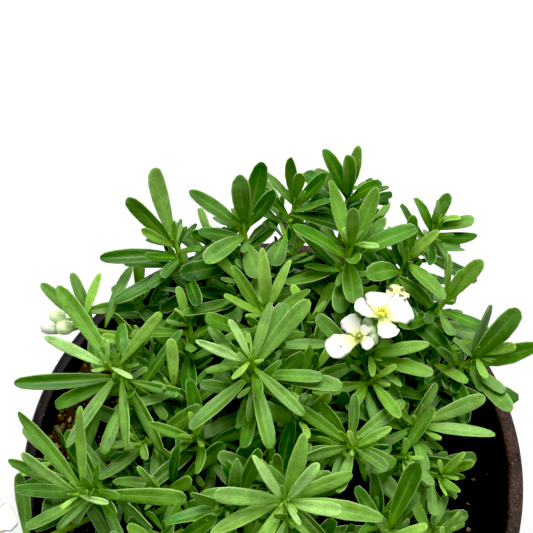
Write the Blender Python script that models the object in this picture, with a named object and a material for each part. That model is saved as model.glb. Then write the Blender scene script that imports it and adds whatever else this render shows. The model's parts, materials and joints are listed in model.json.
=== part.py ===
"""A candytuft plant in a round nursery pot.

Metres, +Z up. The origin is the centre of the pot's underside, and -Y is the side that is looked at from.
Heights in the plant's tables are millimetres above the pot's rim, bearings are degrees from +X towards +Y,
and rises are degrees above the horizontal.
"""
import math
import random
from collections import Counter

import bmesh
import bpy
from mathutils import Matrix, Vector
from mathutils.bvhtree import BVHTree

MM = 0.001

# Pot: a thin-walled tapered nursery pot with a rolled lip and drainage slots round its foot
RIM_RADIUS = 82.5 * MM
RIM_HEIGHT = 160 * MM
LIP_DEPTH = 11 * MM
LIP_WIDTH = 5.6 * MM
FOOT_RADIUS = 63 * MM
WALL = 1.9 * MM
FLOOR = 3 * MM
POT_SIDES = 40
SLOTS = 6
SLOT_WIDTH = 15 * MM
SLOT_HEIGHT = 6.5 * MM
SLOT_DEPTH = 12 * MM
SLOT_BELOW = 1 * MM

# Potting mix: filled to just under the lip, a little higher in the middle, heaped up against the left wall,
# with a lumpy top
SOIL_DROP = 11 * MM
SOIL_CROWN = 5 * MM
SOIL_HEAP = 7 * MM
SOIL_HEAP_FROM = 32 * MM
SOIL_HEAP_RUN = 34 * MM
SOIL_LUMP = 0.8 * MM
SOIL_WAVES = (215, 190, 520, 470)
SOIL_GAP = 0.6 * MM
SOIL_SIDES = 20
SOIL_RINGS = (18, 36, 54, 67)

# Stems: rooted in holes in the mix, slender, leaning outwards towards the rim
ROOT_DEPTH = 12 * MM
ROOT_SPREAD = 0.30
ROOT_SPACING = 6.5 * MM
ROOT_ROUNDS = 200
ROOT_PUSH = 0.25
HOLE_GAP = 0.35 * MM
HOLE_SIDES = 5
HOLE_ABOVE = 6 * MM
STEM_RADIUS = 1.5 * MM
TWIG_RADIUS = 1.0 * MM
TIP_RADIUS = 0.75 * MM
TIP_POINT = 1.6 * MM
STEM_SIDES = 4
STEM_STEP = 14 * MM
START_PULL = 0.36
END_PULL = 0.34
LEAST_PIECES = 3
FORK_AT = 0.42
FORK_REACH = 24 * MM
FORKS_EACH = 2
FORK_TURN = 0.4
ROOT_RISE = 74
TIP_RISE = 82
EDGE_LEAN = 34
EDGE_REACH = 80 * MM

# Leaves: spoon-shaped blades, widest past the middle, blunt at the tip, shallowly channelled.
# Breadth is half the width as a share of the length, and angles are in degrees.
LEAF_BREADTH = 0.112
LEAF_FOOT = 0.16
LEAF_WIDEST = 0.71
LEAF_TIP = 3.2
LEAF_THICKNESS = 0.75 * MM
LEAF_CHANNEL = 0.14
LEAF_CURL = (8, 34)
LEAF_ROLL = 22
LEAF_START = 0.4 * MM
CROWN_RISE = 4 * MM
LIGHT_WAY = (0, -0.30, 0.95)
AXIS_SHARE = 0.5
LEAF_SPACING = 1.0 * MM
LEAF_LENGTH = 23 * MM
LEAF_STATIONS = (0.0, 0.34, 0.74, 0.94)
LOW_LEAF_STATIONS = (0.0, 0.42, 0.86)
LOW_LEAVES = 3
SPARSE_LEAVES = 2
SPARSE_SHOOTS = ("bud", "corner_flower")
BROAD_SHOOTS = ("far_centre", "far_top", "far_left_top", "far_middle", "far_right", "right_upper",
                "right_edge", "right")
BROAD_SHARE = 1.22
SLIM_SHARES = {"centre": 0.86, "left": 0.74, "near_left": 0.74}
LOW_SPACING = 3.2 * MM
FILL_SPACING = 1.9 * MM
LOW_OPENING = (22, 84)
LOW_LENGTH = (0.45, 1.0)
LOW_GROWTH = 1.6
OPENING_SWAY = (-6, 8)
SPIN_SWAY = 10
LENGTH_SWAY = (0.9, 1.12)
GOLDEN_ANGLE = 137.5
LEAF_GAP = 0.25 * MM
CHECK_STEPS = 8
LEAST_SIDE = 0.05
FREE_FROM = 0.24
RIM_CLEAR = 1.5 * MM
RIM_ABOVE = 0.8 * MM
SOIL_CLEAR = 1.0 * MM

# Petals, their stalks and the florets' hearts
PETAL_CLAW = 0.42
PETAL_WIDEST = 0.62
PETAL_TIP = 2.6
PETAL_LIFT = 0.16
PETAL_CURL = 26
PETAL_ROLL = 4
PETAL_THICKNESS = 0.7 * MM
PETAL_STATIONS = (0.0, 0.40, 0.82)
HEART_LENGTH = 2.34 * MM
STALK_RADIUS = 0.5 * MM
STALK_SIDES = 4
STALK_PIECES = 4
STALK_GAP = 0.4 * MM
STALK_START = 0.98
STALK_STEP = 0.02

# Leafy shoots that show from above: name, tip (x, y, height), the shoot that it branches from,
# and its large leaves from the youngest down, each (bearing, rise, length in mm)
SHOOTS = [
    ("centre", (-6, 12, 62), None,
     [(238, 35, 12), (120, 40, 15), (163, 22, 18), (71, 25, 20), (313, 5, 22), (51, 25, 26), (281, 3, 25),
      (346, 12, 28), (222, 7, 27)]),
    ("crown", (-2, 30, 55), "centre",
     [(91, 55, 21), (56, 35, 18), (174, 45, 18), (20, 40, 18), (130, 35, 20), (300, 30, 14)]),
    ("near_centre", (3, -27, 62), None,
     [(298, 25, 9), (44, 40, 16), (135, 42, 18), (343, 24, 18), (56, 48, 24), (182, 25, 22), (349, 9, 29),
      (245, 20, 22), (205, 10, 24)]),
    ("far_centre", (24, 54, 50), None,
     [(144, 50, 7), (346, 22, 9), (89, 74, 19), (108, 35, 24), (60, 42, 23), (21, 20, 24), (166, 39, 24),
      (271, 30, 23), (201, 8, 21), (44, 28, 20)]),
    ("far_top", (24, 75, 46), "far_centre",
     [(300, 55, 6), (85, 62, 18), (148, 20, 14), (109, 72, 19), (132, 52, 20), (20, 62, 19), (352, 52, 20)]),
    ("far_left_top", (-9, 64, 45), None,
     [(84, 72, 16), (112, 74, 22), (154, 32, 22), (35, 50, 18), (72, 52, 26), (228, 28, 22), (190, 35, 18)]),
    ("far_middle", (7, 73, 42), "far_left_top",
     [(57, 80, 14), (100, 60, 17), (150, 45, 18), (30, 45, 18), (350, 40, 16)]),
    ("far_left", (-30, 57, 45), None,
     [(70, 72, 9), (116, 51, 27), (175, 45, 15), (142, 42, 24), (335, 50, 13), (190, 5, 25), (205, 50, 17),
      (234, 24, 18), (213, 0, 26)]),
    ("left", (-47, 15, 50), None,
     [(85, 52, 9), (326, 24, 10), (163, 34, 23), (44, 16, 23), (126.5, 27, 31), (236, 0, 27), (276, 7, 25),
      (190, 13, 33), (300, -8, 26), (350, -5, 23)]),
    ("near_left", (-54, -21, 45), None,
     [(335, 27, 12), (151, 40, 23), (89, 43, 28), (135, 22, 31), (356, 12, 31), (220, 32, 24), (162, 28, 27),
      (232, 20, 16), (189, 38, 28), (300, 5, 22)]),
    ("far_right", (51, 66, 40), None,
     [(343, 50, 11), (106, 75, 12), (356, 52, 18), (152, 62, 18), (330, 35, 18), (60, 45, 16),
      (210, 30, 16)]),
    ("right_upper", (41, 52, 44), "far_right",
     [(23, 50, 15), (160, 55, 10), (298, 25, 22), (75, 50, 17), (245, 25, 15), (130, 40, 16)]),
    ("right_edge", (53, 41, 38), None,
     [(101, 66, 20), (60, 60, 14), (42, 58, 20), (20, 42, 27), (285, 30, 15), (330, 20, 18), (150, 35, 18)]),
    ("right", (62, 24, 35), None,
     [(359, 44, 13), (275, 33, 11), (159, 52, 15), (70, 56, 23), (36, 52, 26), (356, 40, 26), (306, 17, 22),
      (250, 22, 13)]),
    ("flower", (28, 21, 44), None,
     [(273, 32, 12), (348, 38, 22), (310, 19, 16), (334, 26, 24), (200, 15, 22), (150, 25, 22), (60, 25, 20),
      (100, 40, 18)]),
    ("near_flower", (22, -9, 48), "flower",
     [(120, 60, 8), (19, 38, 14), (259, 33, 18), (204, 30, 18), (320, 30, 16), (80, 35, 16), (150, 20, 20)]),
    ("right_middle", (43, 2, 36), None,
     [(90, 60, 8), (20, 18, 22), (349, 8, 24), (140, 35, 16), (214, 14, 16), (280, 20, 17), (60, 30, 17)]),
    ("near_right", (49, -12, 30), "right_middle",
     [(120, 65, 8), (39, 60, 14), (5, 46, 14), (306, 46, 14), (265, 23, 16), (233, 19, 17), (180, 20, 15)]),
    ("near_right_low", (47, -31, 30), None,
     [(90, 70, 9), (47, 62, 16), (340, 35, 17), (130, 40, 17), (290, 30, 18), (200, 25, 18), (250, 15, 19)]),
    ("under_flower", (29, 13, 44), "flower",
     [(90, 60, 9), (5, 20, 15), (300, 30, 19), (95, 45, 16), (190, 20, 20), (240, 35, 17), (50, 30, 16)]),
    ("far_low", (7, 58, 34), "far_left_top", []),
    ("far_left_low", (-19, 62, 32), "far_left", []),
    ("far_inner", (-10, 47, 38), "far_left_top", []),
    ("far_right_low", (30, 68, 30), "far_centre", []),
    ("middle_left", (-25, 33, 38), "left", []),
    ("left_low", (-38, -5, 38), "left", []),
    ("right_low", (24, 40, 36), "right_edge", []),
    ("bud", (-57, 33, 38), "far_left",
     [(60, 35, 17), (150, 40, 20), (200, 20, 16), (110, 30, 18)]),
    ("corner_flower", (-72, -34, 38), "near_left",
     [(250, 25, 19), (200, 10, 18), (300, 15, 18), (335, 5, 16)]),
]

# Shoots that fill the rest of the mound: a sunflower spiral, clear of those above and of the bare patches
FAR_SIDE = -25 * MM
FILL_COUNT = 50
FILL_RADIUS = 74 * MM
FILL_CLEARANCE = 16.5 * MM
FILL_TOP = 54 * MM
FILL_EDGE = 28 * MM
FILL_LOW = 10 * MM
FILL_CROWDING = 0.7
FILL_LEAVES = 6
FAR_LEAVES = 7
BARE_PATCHES = [(70, -18, 24), (-62, 52, 20), (-72, 8, 12), (66, 52, 10)]

# Florets: the shoot that carries it, its heart (x, y, height), the way that it faces (bearing, rise),
# and its petals, each (bearing, length in mm, half its width as a share of the length)
FLORETS = [
    ("flower", (25.0, 22.1, 59.5), (235, 74),
     [(205, 11.2, 0.30), (120, 7.4, 0.38), (316, 5.2, 0.36), (46, 4.0, 0.40)]),
    ("flower", (31.4, 27.4, 62.5), (60, 76),
     [(88, 8.4, 0.54), (22, 10.2, 0.44), (158, 8.8, 0.34), (283, 9.4, 0.30)]),
    ("flower", (37.2, 37.6, 54), (70, 60),
     [(85, 4.6, 0.50), (5, 4.0, 0.40), (165, 3.8, 0.40), (265, 3.0, 0.40)]),
    ("corner_flower", (-80.5, -31.0, 51), (40, 68),
     [(26, 9.4, 0.40), (94, 9.4, 0.40), (206, 5.0, 0.38), (274, 5.0, 0.38)]),
    ("corner_flower", (-83.0, -42.0, 49), (230, 60),
     [(206, 9.0, 0.40), (274, 9.0, 0.40), (26, 4.8, 0.38), (94, 4.8, 0.38)]),
    ("corner_flower", (-90.0, -34.5, 47), (180, 50),
     [(141, 8.6, 0.40), (209, 8.6, 0.40), (321, 4.6, 0.38), (29, 4.6, 0.38)]),
]

# Clusters of buds that touch: the shoot that carries them, and each bud's centre (x, y, height) and length
# in mm
BUD_CLUSTERS = [
    ("flower", [((27.6, 26.8, 57.8), 4.2), ((28.6, 24.6, 57.4), 4.4), ((29.2, 22.4, 56.6), 4.2)]),
    ("bud", [((-64.7, 31.2, 52.6), 5.9), ((-62.5, 27.9, 52.2), 6.1), ((-67.0, 28.2, 51.8), 6)]),
]
BUD_BREADTH = 0.44
BUD_SIDES = 5
BUD_RINGS = ((-0.25, 0.9), (0.25, 0.85))
BUD_LIFT = 4 * MM

# Edges shorter than this, left where leaves meet a stem, are collapsed
SHORT_EDGE = 0.2 * MM

# The nudges tried in turn where a leaf would touch something: turn, lift (degrees) and share of the length
NUDGES = [(0, 0, 1.0), (7, 0, 1.0), (-7, 0, 1.0), (0, 8, 1.0), (0, -8, 1.0), (10, 8, 0.95), (-10, 8, 0.95),
          (12, -8, 0.92), (-12, -8, 0.92), (0, 18, 0.9), (20, 0, 0.85), (-20, 0, 0.85), (28, 12, 0.75),
          (-28, 12, 0.75), (0, 30, 0.7)]


def rim_point(x, y, height):
    """A point given in millimetres, with its height above the pot's rim."""
    return Vector((x * MM, y * MM, RIM_HEIGHT + height * MM))


def heading(bearing, rise):
    """The unit vector that points along a bearing and rise in degrees."""
    turn, lift = math.radians(bearing), math.radians(rise)
    return Vector((math.cos(turn) * math.cos(lift), math.sin(turn) * math.cos(lift), math.sin(lift)))


def soil_height(x, y):
    """Height of the mix's top at x, y: a low mound with lumps, heaped towards -X."""
    share = min(1.0, math.hypot(x, y) / (RIM_RADIUS - LIP_WIDTH))
    broad = math.sin(SOIL_WAVES[0] * x) * math.cos(SOIL_WAVES[1] * y)
    fine = math.sin(SOIL_WAVES[2] * x) * math.sin(SOIL_WAVES[3] * y)
    heap = smooth_step(min(1.0, max(0.0, (-x - SOIL_HEAP_FROM) / SOIL_HEAP_RUN)))
    raised = SOIL_CROWN * (1 - share * share) + SOIL_HEAP * heap + SOIL_LUMP * (broad + 0.6 * fine)
    return RIM_HEIGHT - SOIL_DROP + raised


def smooth_step(s):
    return s * s * (3 - 2 * s)


def leaf_outline(u):
    """Half-width of a leaf at u along it, as a share of its greatest: spoon-shaped."""
    if u < LEAF_WIDEST:
        return LEAF_FOOT + (1 - LEAF_FOOT) * math.sin(math.pi / 2 * u / LEAF_WIDEST)
    return math.sqrt(max(0.0, 1 - ((u - LEAF_WIDEST) / (1 - LEAF_WIDEST)) ** LEAF_TIP))


def petal_outline(u):
    """Half-width of a petal at u along it: a narrow claw that opens into a round blade."""
    if u < PETAL_WIDEST:
        return PETAL_CLAW + (1 - PETAL_CLAW) * smooth_step(u / PETAL_WIDEST)
    return math.sqrt(max(0.0, 1 - ((u - PETAL_WIDEST) / (1 - PETAL_WIDEST)) ** PETAL_TIP))


class Blade:
    """A leaf or petal: an arched strip from its foot along a direction, its upper face turned to the axis."""

    def __init__(self, foot, along, axis, length, half_width, thickness, curl, roll, outline, stations):
        self.foot, self.length, self.half_width, self.thickness = foot, length, half_width, thickness
        self.curl, self.outline, self.stations = curl, outline, stations
        self.along = along.normalized()
        side = axis.cross(self.along)
        if side.length < LEAST_SIDE:
            side = Vector((1, 0, 0)).cross(self.along)
        side.normalize()
        self.upward = self.along.cross(side).normalized()
        turned = Matrix.Rotation(roll, 3, self.along)
        self.breadth_way, self.face_way = turned @ side, turned @ self.upward

    def centre(self, u):
        """The midline's point at u, on an arc whose tip rises if the curl is positive, and else nods."""
        start, now = -self.curl / 2, self.curl * (u - 0.5)
        forward = (math.sin(now) - math.sin(start)) / self.curl
        droop = (math.cos(start) - math.cos(now)) / self.curl
        return self.foot + self.length * (self.along * forward + self.upward * droop)

    def section(self, u, margin=0.0):
        """Both edges and the keel at u, all a margin further out for the test of what it would touch."""
        half = self.half_width * self.outline(u) + margin
        middle = self.centre(u)
        lift = self.face_way * (LEAF_CHANNEL * half + margin)
        keel = self.face_way * (self.thickness * (0.6 + 0.4 * self.outline(u)) + margin)
        across = self.breadth_way * half
        return middle - across + lift, middle + across + lift, middle - keel

    def corners(self, margin=0.0):
        """The blade's points and triangles: three-cornered sections, closed at the foot, drawn to a tip."""
        points = [p for u in self.stations for p in self.section(u, margin)]
        points.append(self.centre(1.0) + self.face_way * margin)
        faces = [(0, 2, 1)]
        for first in range(0, 3 * (len(self.stations) - 1), 3):
            for a, b in ((0, 1), (1, 2), (2, 0)):
                faces.append((first + a, first + b, first + 3 + b))
                faces.append((first + a, first + 3 + b, first + 3 + a))
        last, tip = 3 * (len(self.stations) - 1), len(points) - 1
        faces += [(last + a, last + b, tip) for a, b in ((0, 1), (1, 2), (2, 0))]
        return points, faces


def make_leaf(foot, along, axis, length, curl, roll, stations, breadth=LEAF_BREADTH):
    """A leaf, with its upper face turned partly to its shoot's axis and mostly to the light."""
    upper_side = (axis * AXIS_SHARE + Vector(LIGHT_WAY)).normalized()
    return Blade(foot, along, upper_side, length, breadth * length, LEAF_THICKNESS, curl, roll, leaf_outline,
                 stations)


class Curve:
    """A stem's or stalk's path: a cubic curve, with a straight root below the mix where it has one."""

    def __init__(self, start, start_way, end, end_way, pieces=None, root=0.0):
        reach = (end - start).length
        self.knots = (start, start + start_way * reach * START_PULL, end - end_way * reach * END_PULL, end)
        count = pieces or max(LEAST_PIECES, round(reach / STEM_STEP))
        self.chords = [self.at(i / count) for i in range(count + 1)]
        self.points = list(self.chords)
        if root:
            self.points.insert(0, start - Vector((0, 0, root)))

    def at(self, t):
        a, b, c, d = self.knots
        s = 1 - t
        return a * s ** 3 + b * (3 * s * s * t) + c * (3 * s * t * t) + d * t ** 3

    def inside(self, t):
        """The point at the share t along the straight pieces that the stem is drawn with."""
        place = t * (len(self.chords) - 1)
        first = min(int(place), len(self.chords) - 2)
        return self.chords[first].lerp(self.chords[first + 1], place - first)

    def way(self, t):
        return (self.at(min(1.0, t + 0.01)) - self.at(max(0.0, t - 0.01))).normalized()

    def below_tip(self, distance):
        """The share along the curve that lies a distance short of its tip."""
        t, gone, last = 1.0, 0.0, self.at(1.0)
        while gone < distance and t > 0.02:
            t -= 0.01
            here = self.at(t)
            gone += (here - last).length
            last = here
        return t

    def tube(self, foot_radius, tip_radius, margin=0.0, sides=STEM_SIDES, past_tip=TIP_POINT):
        """Points and faces of the round stem, closed at its foot and drawn to a point past its tip."""
        points, faces, ring = [], [], []
        across = None
        for i, point in enumerate(self.points):
            after, before = self.points[min(i + 1, len(self.points) - 1)], self.points[max(i - 1, 0)]
            way = (after - before).normalized()
            across = way.orthogonal() if across is None else across - way * across.dot(way)
            across.normalize()
            upright = way.cross(across)
            radius = foot_radius + (tip_radius - foot_radius) * i / (len(self.points) - 1) + margin
            ring = []
            for k in range(sides):
                angle = 2 * math.pi * k / sides
                ring.append(len(points))
                points.append(point + (across * math.cos(angle) + upright * math.sin(angle)) * radius)
            if i:
                lower = [v - sides for v in ring]
                for k in range(sides):
                    after_k = (k + 1) % sides
                    faces.append((lower[k], lower[after_k], ring[after_k], ring[k]))
        faces.append(tuple(reversed(range(sides))))
        if not past_tip:
            faces.append(tuple(ring))
            return points, faces
        points.append(self.points[-1] + self.way(1.0) * past_tip)
        faces += [(ring[k], ring[(k + 1) % sides], len(points) - 1) for k in range(sides)]
        return points, faces


class Shoot:
    """A leafy shoot: its path, radii, and its leaves as they are placed."""

    def __init__(self, name, tip, parent, wanted, seed):
        self.name, self.parent, self.wanted = name, parent, wanted
        self.draw = random.Random(seed)
        reach = math.hypot(tip.x, tip.y)
        outward = math.degrees(math.atan2(tip.y, tip.x))
        self.axis = heading(outward, TIP_RISE - EDGE_LEAN * min(1.0, reach / EDGE_REACH))
        self.tip = tip + self.axis * CROWN_RISE
        self.breadth = LEAF_BREADTH * (BROAD_SHARE if name in BROAD_SHOOTS else SLIM_SHARES.get(name, 1))
        self.leaves, self.stalks = [], []
        self.node = parent.node if parent else self

    def grow(self, root):
        """Sets the path, from the root in the mix or from a fork on the parent's stem."""
        if self.parent:
            start, way = self.parent.curve.inside(FORK_AT), self.parent.curve.way(FORK_AT)
            self.curve = Curve(start, (way + self.axis * FORK_TURN).normalized(), self.tip, self.axis)
            self.foot_radius = TWIG_RADIUS
        else:
            start = Vector((root.x, root.y, soil_height(root.x, root.y)))
            way = heading(math.degrees(math.atan2(root.y, root.x)), ROOT_RISE)
            self.curve = Curve(start, way, self.tip, self.axis, root=ROOT_DEPTH)
            self.foot_radius = STEM_RADIUS


class Obstacles:
    """What is already placed, as search trees with their spheres, so that nothing new crosses it."""

    def __init__(self):
        self.items = []

    def add(self, owner, points, faces):
        centre = sum(points, Vector()) / len(points)
        radius = max((p - centre).length for p in points)
        self.items.append((owner, centre, radius, BVHTree.FromPolygons(points, faces)))

    def touched(self, points, faces, spare=()):
        """True if the shape crosses anything but what belongs to the owners that are spared."""
        centre = sum(points, Vector()) / len(points)
        radius = max((p - centre).length for p in points)
        tree = BVHTree.FromPolygons(points, faces)
        return any(owner not in spare and (centre - at).length < radius + size and other.overlap(tree)
                   for owner, at, size, other in self.items)


def clear_of_pot(blade):
    """True if a leaf stays above the mix and off the pot's rim and wall."""
    for step in range(1, CHECK_STEPS + 1):
        middle = blade.centre(step / CHECK_STEPS)
        for point in (middle, *blade.section(step / CHECK_STEPS, LEAF_GAP)):
            reach = math.hypot(point.x, point.y)
            low = point.z < RIM_HEIGHT + RIM_ABOVE
            if low and RIM_RADIUS - LIP_WIDTH - RIM_CLEAR < reach < RIM_RADIUS + RIM_CLEAR:
                return False
            if reach < RIM_RADIUS and point.z < soil_height(point.x, point.y) + SOIL_CLEAR:
                return False
    return True


def fill_shoots(made):
    """Tips on a sunflower spiral where no named shoot stands, high in the middle and low at the edge."""
    tips = []
    taken = [s.tip for s in made]
    patches = [(Vector((x * MM, y * MM)), size * MM) for x, y, size in BARE_PATCHES]
    for k in range(FILL_COUNT):
        reach = FILL_RADIUS * math.sqrt((k + 0.5) / FILL_COUNT)
        angle = math.radians(GOLDEN_ANGLE * k)
        flat = Vector((reach * math.cos(angle), reach * math.sin(angle)))
        if any((flat - middle).length < size for middle, size in patches):
            continue
        near = min((flat - t.xy).length for t in taken)
        if near < FILL_CLEARANCE * (FILL_CROWDING if flat.y > FAR_SIDE else 1.0):
            continue
        share = (reach / FILL_RADIUS) ** 2
        height = FILL_TOP + (FILL_EDGE - FILL_TOP) * share
        if flat.y > FAR_SIDE:
            height -= FILL_LOW
        tips.append(Vector((flat.x, flat.y, RIM_HEIGHT + height)))
        taken.append(tips[-1])
    return tips


def place_shoots():
    """All the shoots with their paths: the named ones, then the filling ones, each rooted or forked."""
    made = {}
    for seed, (name, tip, parent, wanted) in enumerate(SHOOTS):
        made[name] = Shoot(name, rim_point(*tip), made.get(parent), wanted, seed)
    for count, tip in enumerate(fill_shoots(list(made.values())), 1):
        name = f"fill_{count:02d}"
        near = [s for s in made.values() if not s.parent and (s.tip.xy - tip.xy).length < FORK_REACH
                and sum(o.parent is s for o in made.values()) < FORKS_EACH]
        parent = min(near, key=lambda s: (s.tip.xy - tip.xy).length) if near else None
        made[name] = Shoot(name, tip, parent, (), 100 + count)
    shoots = list(made.values())
    rooted = [s for s in shoots if not s.parent]
    roots = [Vector((s.tip.x * ROOT_SPREAD, s.tip.y * ROOT_SPREAD)) for s in rooted]
    for _ in range(ROOT_ROUNDS):
        for i, a in enumerate(roots):
            for b in roots[i + 1:]:
                apart = a - b
                short = ROOT_SPACING - apart.length
                if short > 0:
                    push = apart.normalized() * short * ROOT_PUSH
                    a += push
                    b -= push
    for shoot, root in zip(rooted, roots):
        shoot.grow(root)
    for shoot in shoots:
        if shoot.parent:
            shoot.grow(None)
    return shoots


def ordered_leaves(shoot):
    """The leaves that a shoot wants: distance below its tip, direction, length, stations, curl and roll."""
    draw, wanted = shoot.draw, []
    axis = shoot.axis
    across = axis.orthogonal().normalized()
    phase = draw.uniform(0, 360)
    below = LEAF_START
    for bearing, rise, length in shoot.wanted:
        wanted.append((below, heading(bearing, rise), length * MM, LEAF_STATIONS))
        below += LEAF_SPACING
    crown = LOW_LEAVES if shoot.wanted else FILL_LEAVES if shoot.tip.y < FAR_SIDE else FAR_LEAVES
    if shoot.name in SPARSE_SHOOTS:
        crown = SPARSE_LEAVES
    for k in range(crown):
        share = 1.0 if shoot.wanted else (k + 1) / crown
        opening = LOW_OPENING[0] + (LOW_OPENING[1] - LOW_OPENING[0]) * share
        open_angle = math.radians(opening + draw.uniform(*OPENING_SWAY))
        spin = math.radians(phase + GOLDEN_ANGLE * k + draw.uniform(-SPIN_SWAY, SPIN_SWAY))
        radial = across * math.cos(spin) + axis.cross(across) * math.sin(spin)
        grown = LOW_LENGTH[0] + (LOW_LENGTH[1] - LOW_LENGTH[0]) * min(1.0, share * LOW_GROWTH)
        along = axis * math.cos(open_angle) + radial * math.sin(open_angle)
        wanted.append((below, along, LEAF_LENGTH * grown * draw.uniform(*LENGTH_SWAY), LOW_LEAF_STATIONS))
        below += LOW_SPACING if shoot.wanted else FILL_SPACING
    return [(*leaf, draw.uniform(*LEAF_CURL) * draw.choice((1, -1)), draw.uniform(-LEAF_ROLL, LEAF_ROLL))
            for leaf in wanted]


def place_leaves(shoots, obstacles):
    """Places the leaves in turn, youngest first, each nudged until it touches nothing, or left out."""
    for shoot in shoots:
        for below, along, length, stations, curl, roll in ordered_leaves(shoot):
            t = shoot.curve.below_tip(below)
            foot, axis = shoot.curve.inside(t), shoot.curve.way(t)
            for turn, lift, share in NUDGES:
                turned = Matrix.Rotation(math.radians(turn), 3, axis) @ along
                side = axis.cross(turned)
                if side.length > LEAST_SIDE:
                    turned = Matrix.Rotation(math.radians(-lift), 3, side.normalized()) @ turned
                leaf = make_leaf(foot, turned, axis, length * share, math.radians(curl), math.radians(roll),
                                 stations, shoot.breadth)
                if not clear_of_pot(leaf):
                    continue
                if obstacles.touched(*leaf.corners(LEAF_GAP), spare=(shoot.name,)):
                    continue
                if crosses(leaf, shoot.leaves):
                    continue
                shoot.leaves.append(leaf)
                break
        for leaf in shoot.leaves:
            obstacles.add(shoot.name, *leaf.corners())


def outer_part(leaf):
    """The leaf without its crowded foot, for the test against the leaves of its own shoot."""
    stations = leaf.stations
    leaf.stations = (FREE_FROM, *stations[1:])
    points, faces = leaf.corners()
    leaf.stations = stations
    return points, faces


def crosses(leaf, others):
    """True if the leaf's outer part crosses that of another leaf of its shoot."""
    tree = BVHTree.FromPolygons(*outer_part(leaf))
    return any(BVHTree.FromPolygons(*outer_part(other)).overlap(tree) for other in others)


def floret_petals(heart, facing, rows):
    """A floret's four petals, which open from its heart across the way that it faces."""
    axis = heading(*facing)
    petals = []
    for bearing, length, breadth in rows:
        level = heading(bearing, 0)
        along = (level - axis * level.dot(axis)).normalized() + axis * PETAL_LIFT
        roll = math.radians(PETAL_ROLL)
        petals.append(Blade(heart, along, axis, length * MM, breadth * length * MM, PETAL_THICKNESS,
                            math.radians(PETAL_CURL), roll, petal_outline, PETAL_STATIONS))
    return petals


def bud_shape(centre, way, length):
    """Points and faces of an egg-shaped bud that points along a direction."""
    across = way.orthogonal().normalized()
    upright = way.cross(across)
    points = [centre - way * length * 0.5]
    for along, share in BUD_RINGS:
        for k in range(BUD_SIDES):
            angle = 2 * math.pi * k / BUD_SIDES
            outward = across * math.cos(angle) + upright * math.sin(angle)
            points.append(centre + (way * along + outward * BUD_BREADTH * share) * length)
    points.append(centre + way * length * 0.5)
    faces = [(0, 1 + (k + 1) % BUD_SIDES, 1 + k) for k in range(BUD_SIDES)]
    for ring in range(len(BUD_RINGS) - 1):
        low = 1 + BUD_SIDES * ring
        high = low + BUD_SIDES
        for k in range(BUD_SIDES):
            after = (k + 1) % BUD_SIDES
            faces.append((low + k, low + after, high + after, high + k))
    last = 1 + BUD_SIDES * (len(BUD_RINGS) - 1)
    faces += [(last + k, last + (k + 1) % BUD_SIDES, len(points) - 1) for k in range(BUD_SIDES)]
    return points, faces


def add_stalk(shoot, end, way, obstacles):
    """A stalk from near the shoot's tip, each a little below the last, to the foot of a floret or bud."""
    start = shoot.curve.inside(STALK_START - STALK_STEP * len(shoot.stalks))
    stalk = Curve(start, Vector((0, 0, 1)), end, way, pieces=STALK_PIECES)
    shoot.stalks.append(stalk)
    tube = stalk.tube(STALK_RADIUS, STALK_RADIUS, sides=STALK_SIDES, past_tip=0)
    obstacles.add(shoot.name, *tube)


def make_florets(shoots, obstacles):
    """The florets over the ends of their stalks: the heart's centre, the way that it faces, its petals."""
    by_name, florets = {s.name: s for s in shoots}, []
    for carrier, heart, facing, rows in FLORETS:
        centre, axis = rim_point(*heart), heading(*facing)
        petals = floret_petals(centre, facing, rows)
        add_stalk(by_name[carrier], centre - axis * (HEART_LENGTH / 2 + STALK_GAP), axis, obstacles)
        for petal in petals:
            obstacles.add("petal", *petal.corners(LEAF_GAP))
        obstacles.add("petal", *bud_shape(centre, axis, HEART_LENGTH))
        florets.append((centre, axis, petals))
    return florets


def make_buds(shoots, obstacles):
    """The clusters of buds over the ends of their stalks: each bud's centre, direction and length."""
    by_name, clusters = {s.name: s for s in shoots}, []
    for carrier, buds in BUD_CLUSTERS:
        cluster = []
        for place, length in buds:
            centre = rim_point(*place)
            way = (centre - by_name[carrier].tip + Vector((0, 0, BUD_LIFT))).normalized()
            add_stalk(by_name[carrier], centre - way * (length * MM / 2 + STALK_GAP), way, obstacles)
            obstacles.add("bud", *bud_shape(centre, way, length * MM))
            cluster.append((centre, way, length * MM))
        clusters.append(cluster)
    return clusters


def turned_shape(profile, sides):
    """Points and faces of a solid turned about Z, from a profile that starts and ends on that axis."""
    points, rings, faces = [], [], []
    for radius, height in profile:
        if radius == 0:
            rings.append([len(points)])
            points.append((0, 0, height))
            continue
        rings.append(list(range(len(points), len(points) + sides)))
        for k in range(sides):
            angle = 2 * math.pi * k / sides
            points.append((radius * math.cos(angle), radius * math.sin(angle), height))
    for low, high in zip(rings, rings[1:]):
        for k in range(sides):
            after = (k + 1) % sides
            if len(low) == 1:
                faces.append((low[0], high[after], high[k]))
            elif len(high) == 1:
                faces.append((low[k], low[after], high[0]))
            else:
                faces.append((low[k], low[after], high[after], high[k]))
    return points, faces


def inner_radius(height):
    """The pot's inside radius at a height."""
    low, high = FOOT_RADIUS - WALL, RIM_RADIUS - LIP_WIDTH
    return low + (high - low) * (height - FLOOR) / (RIM_HEIGHT - FLOOR)


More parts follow.
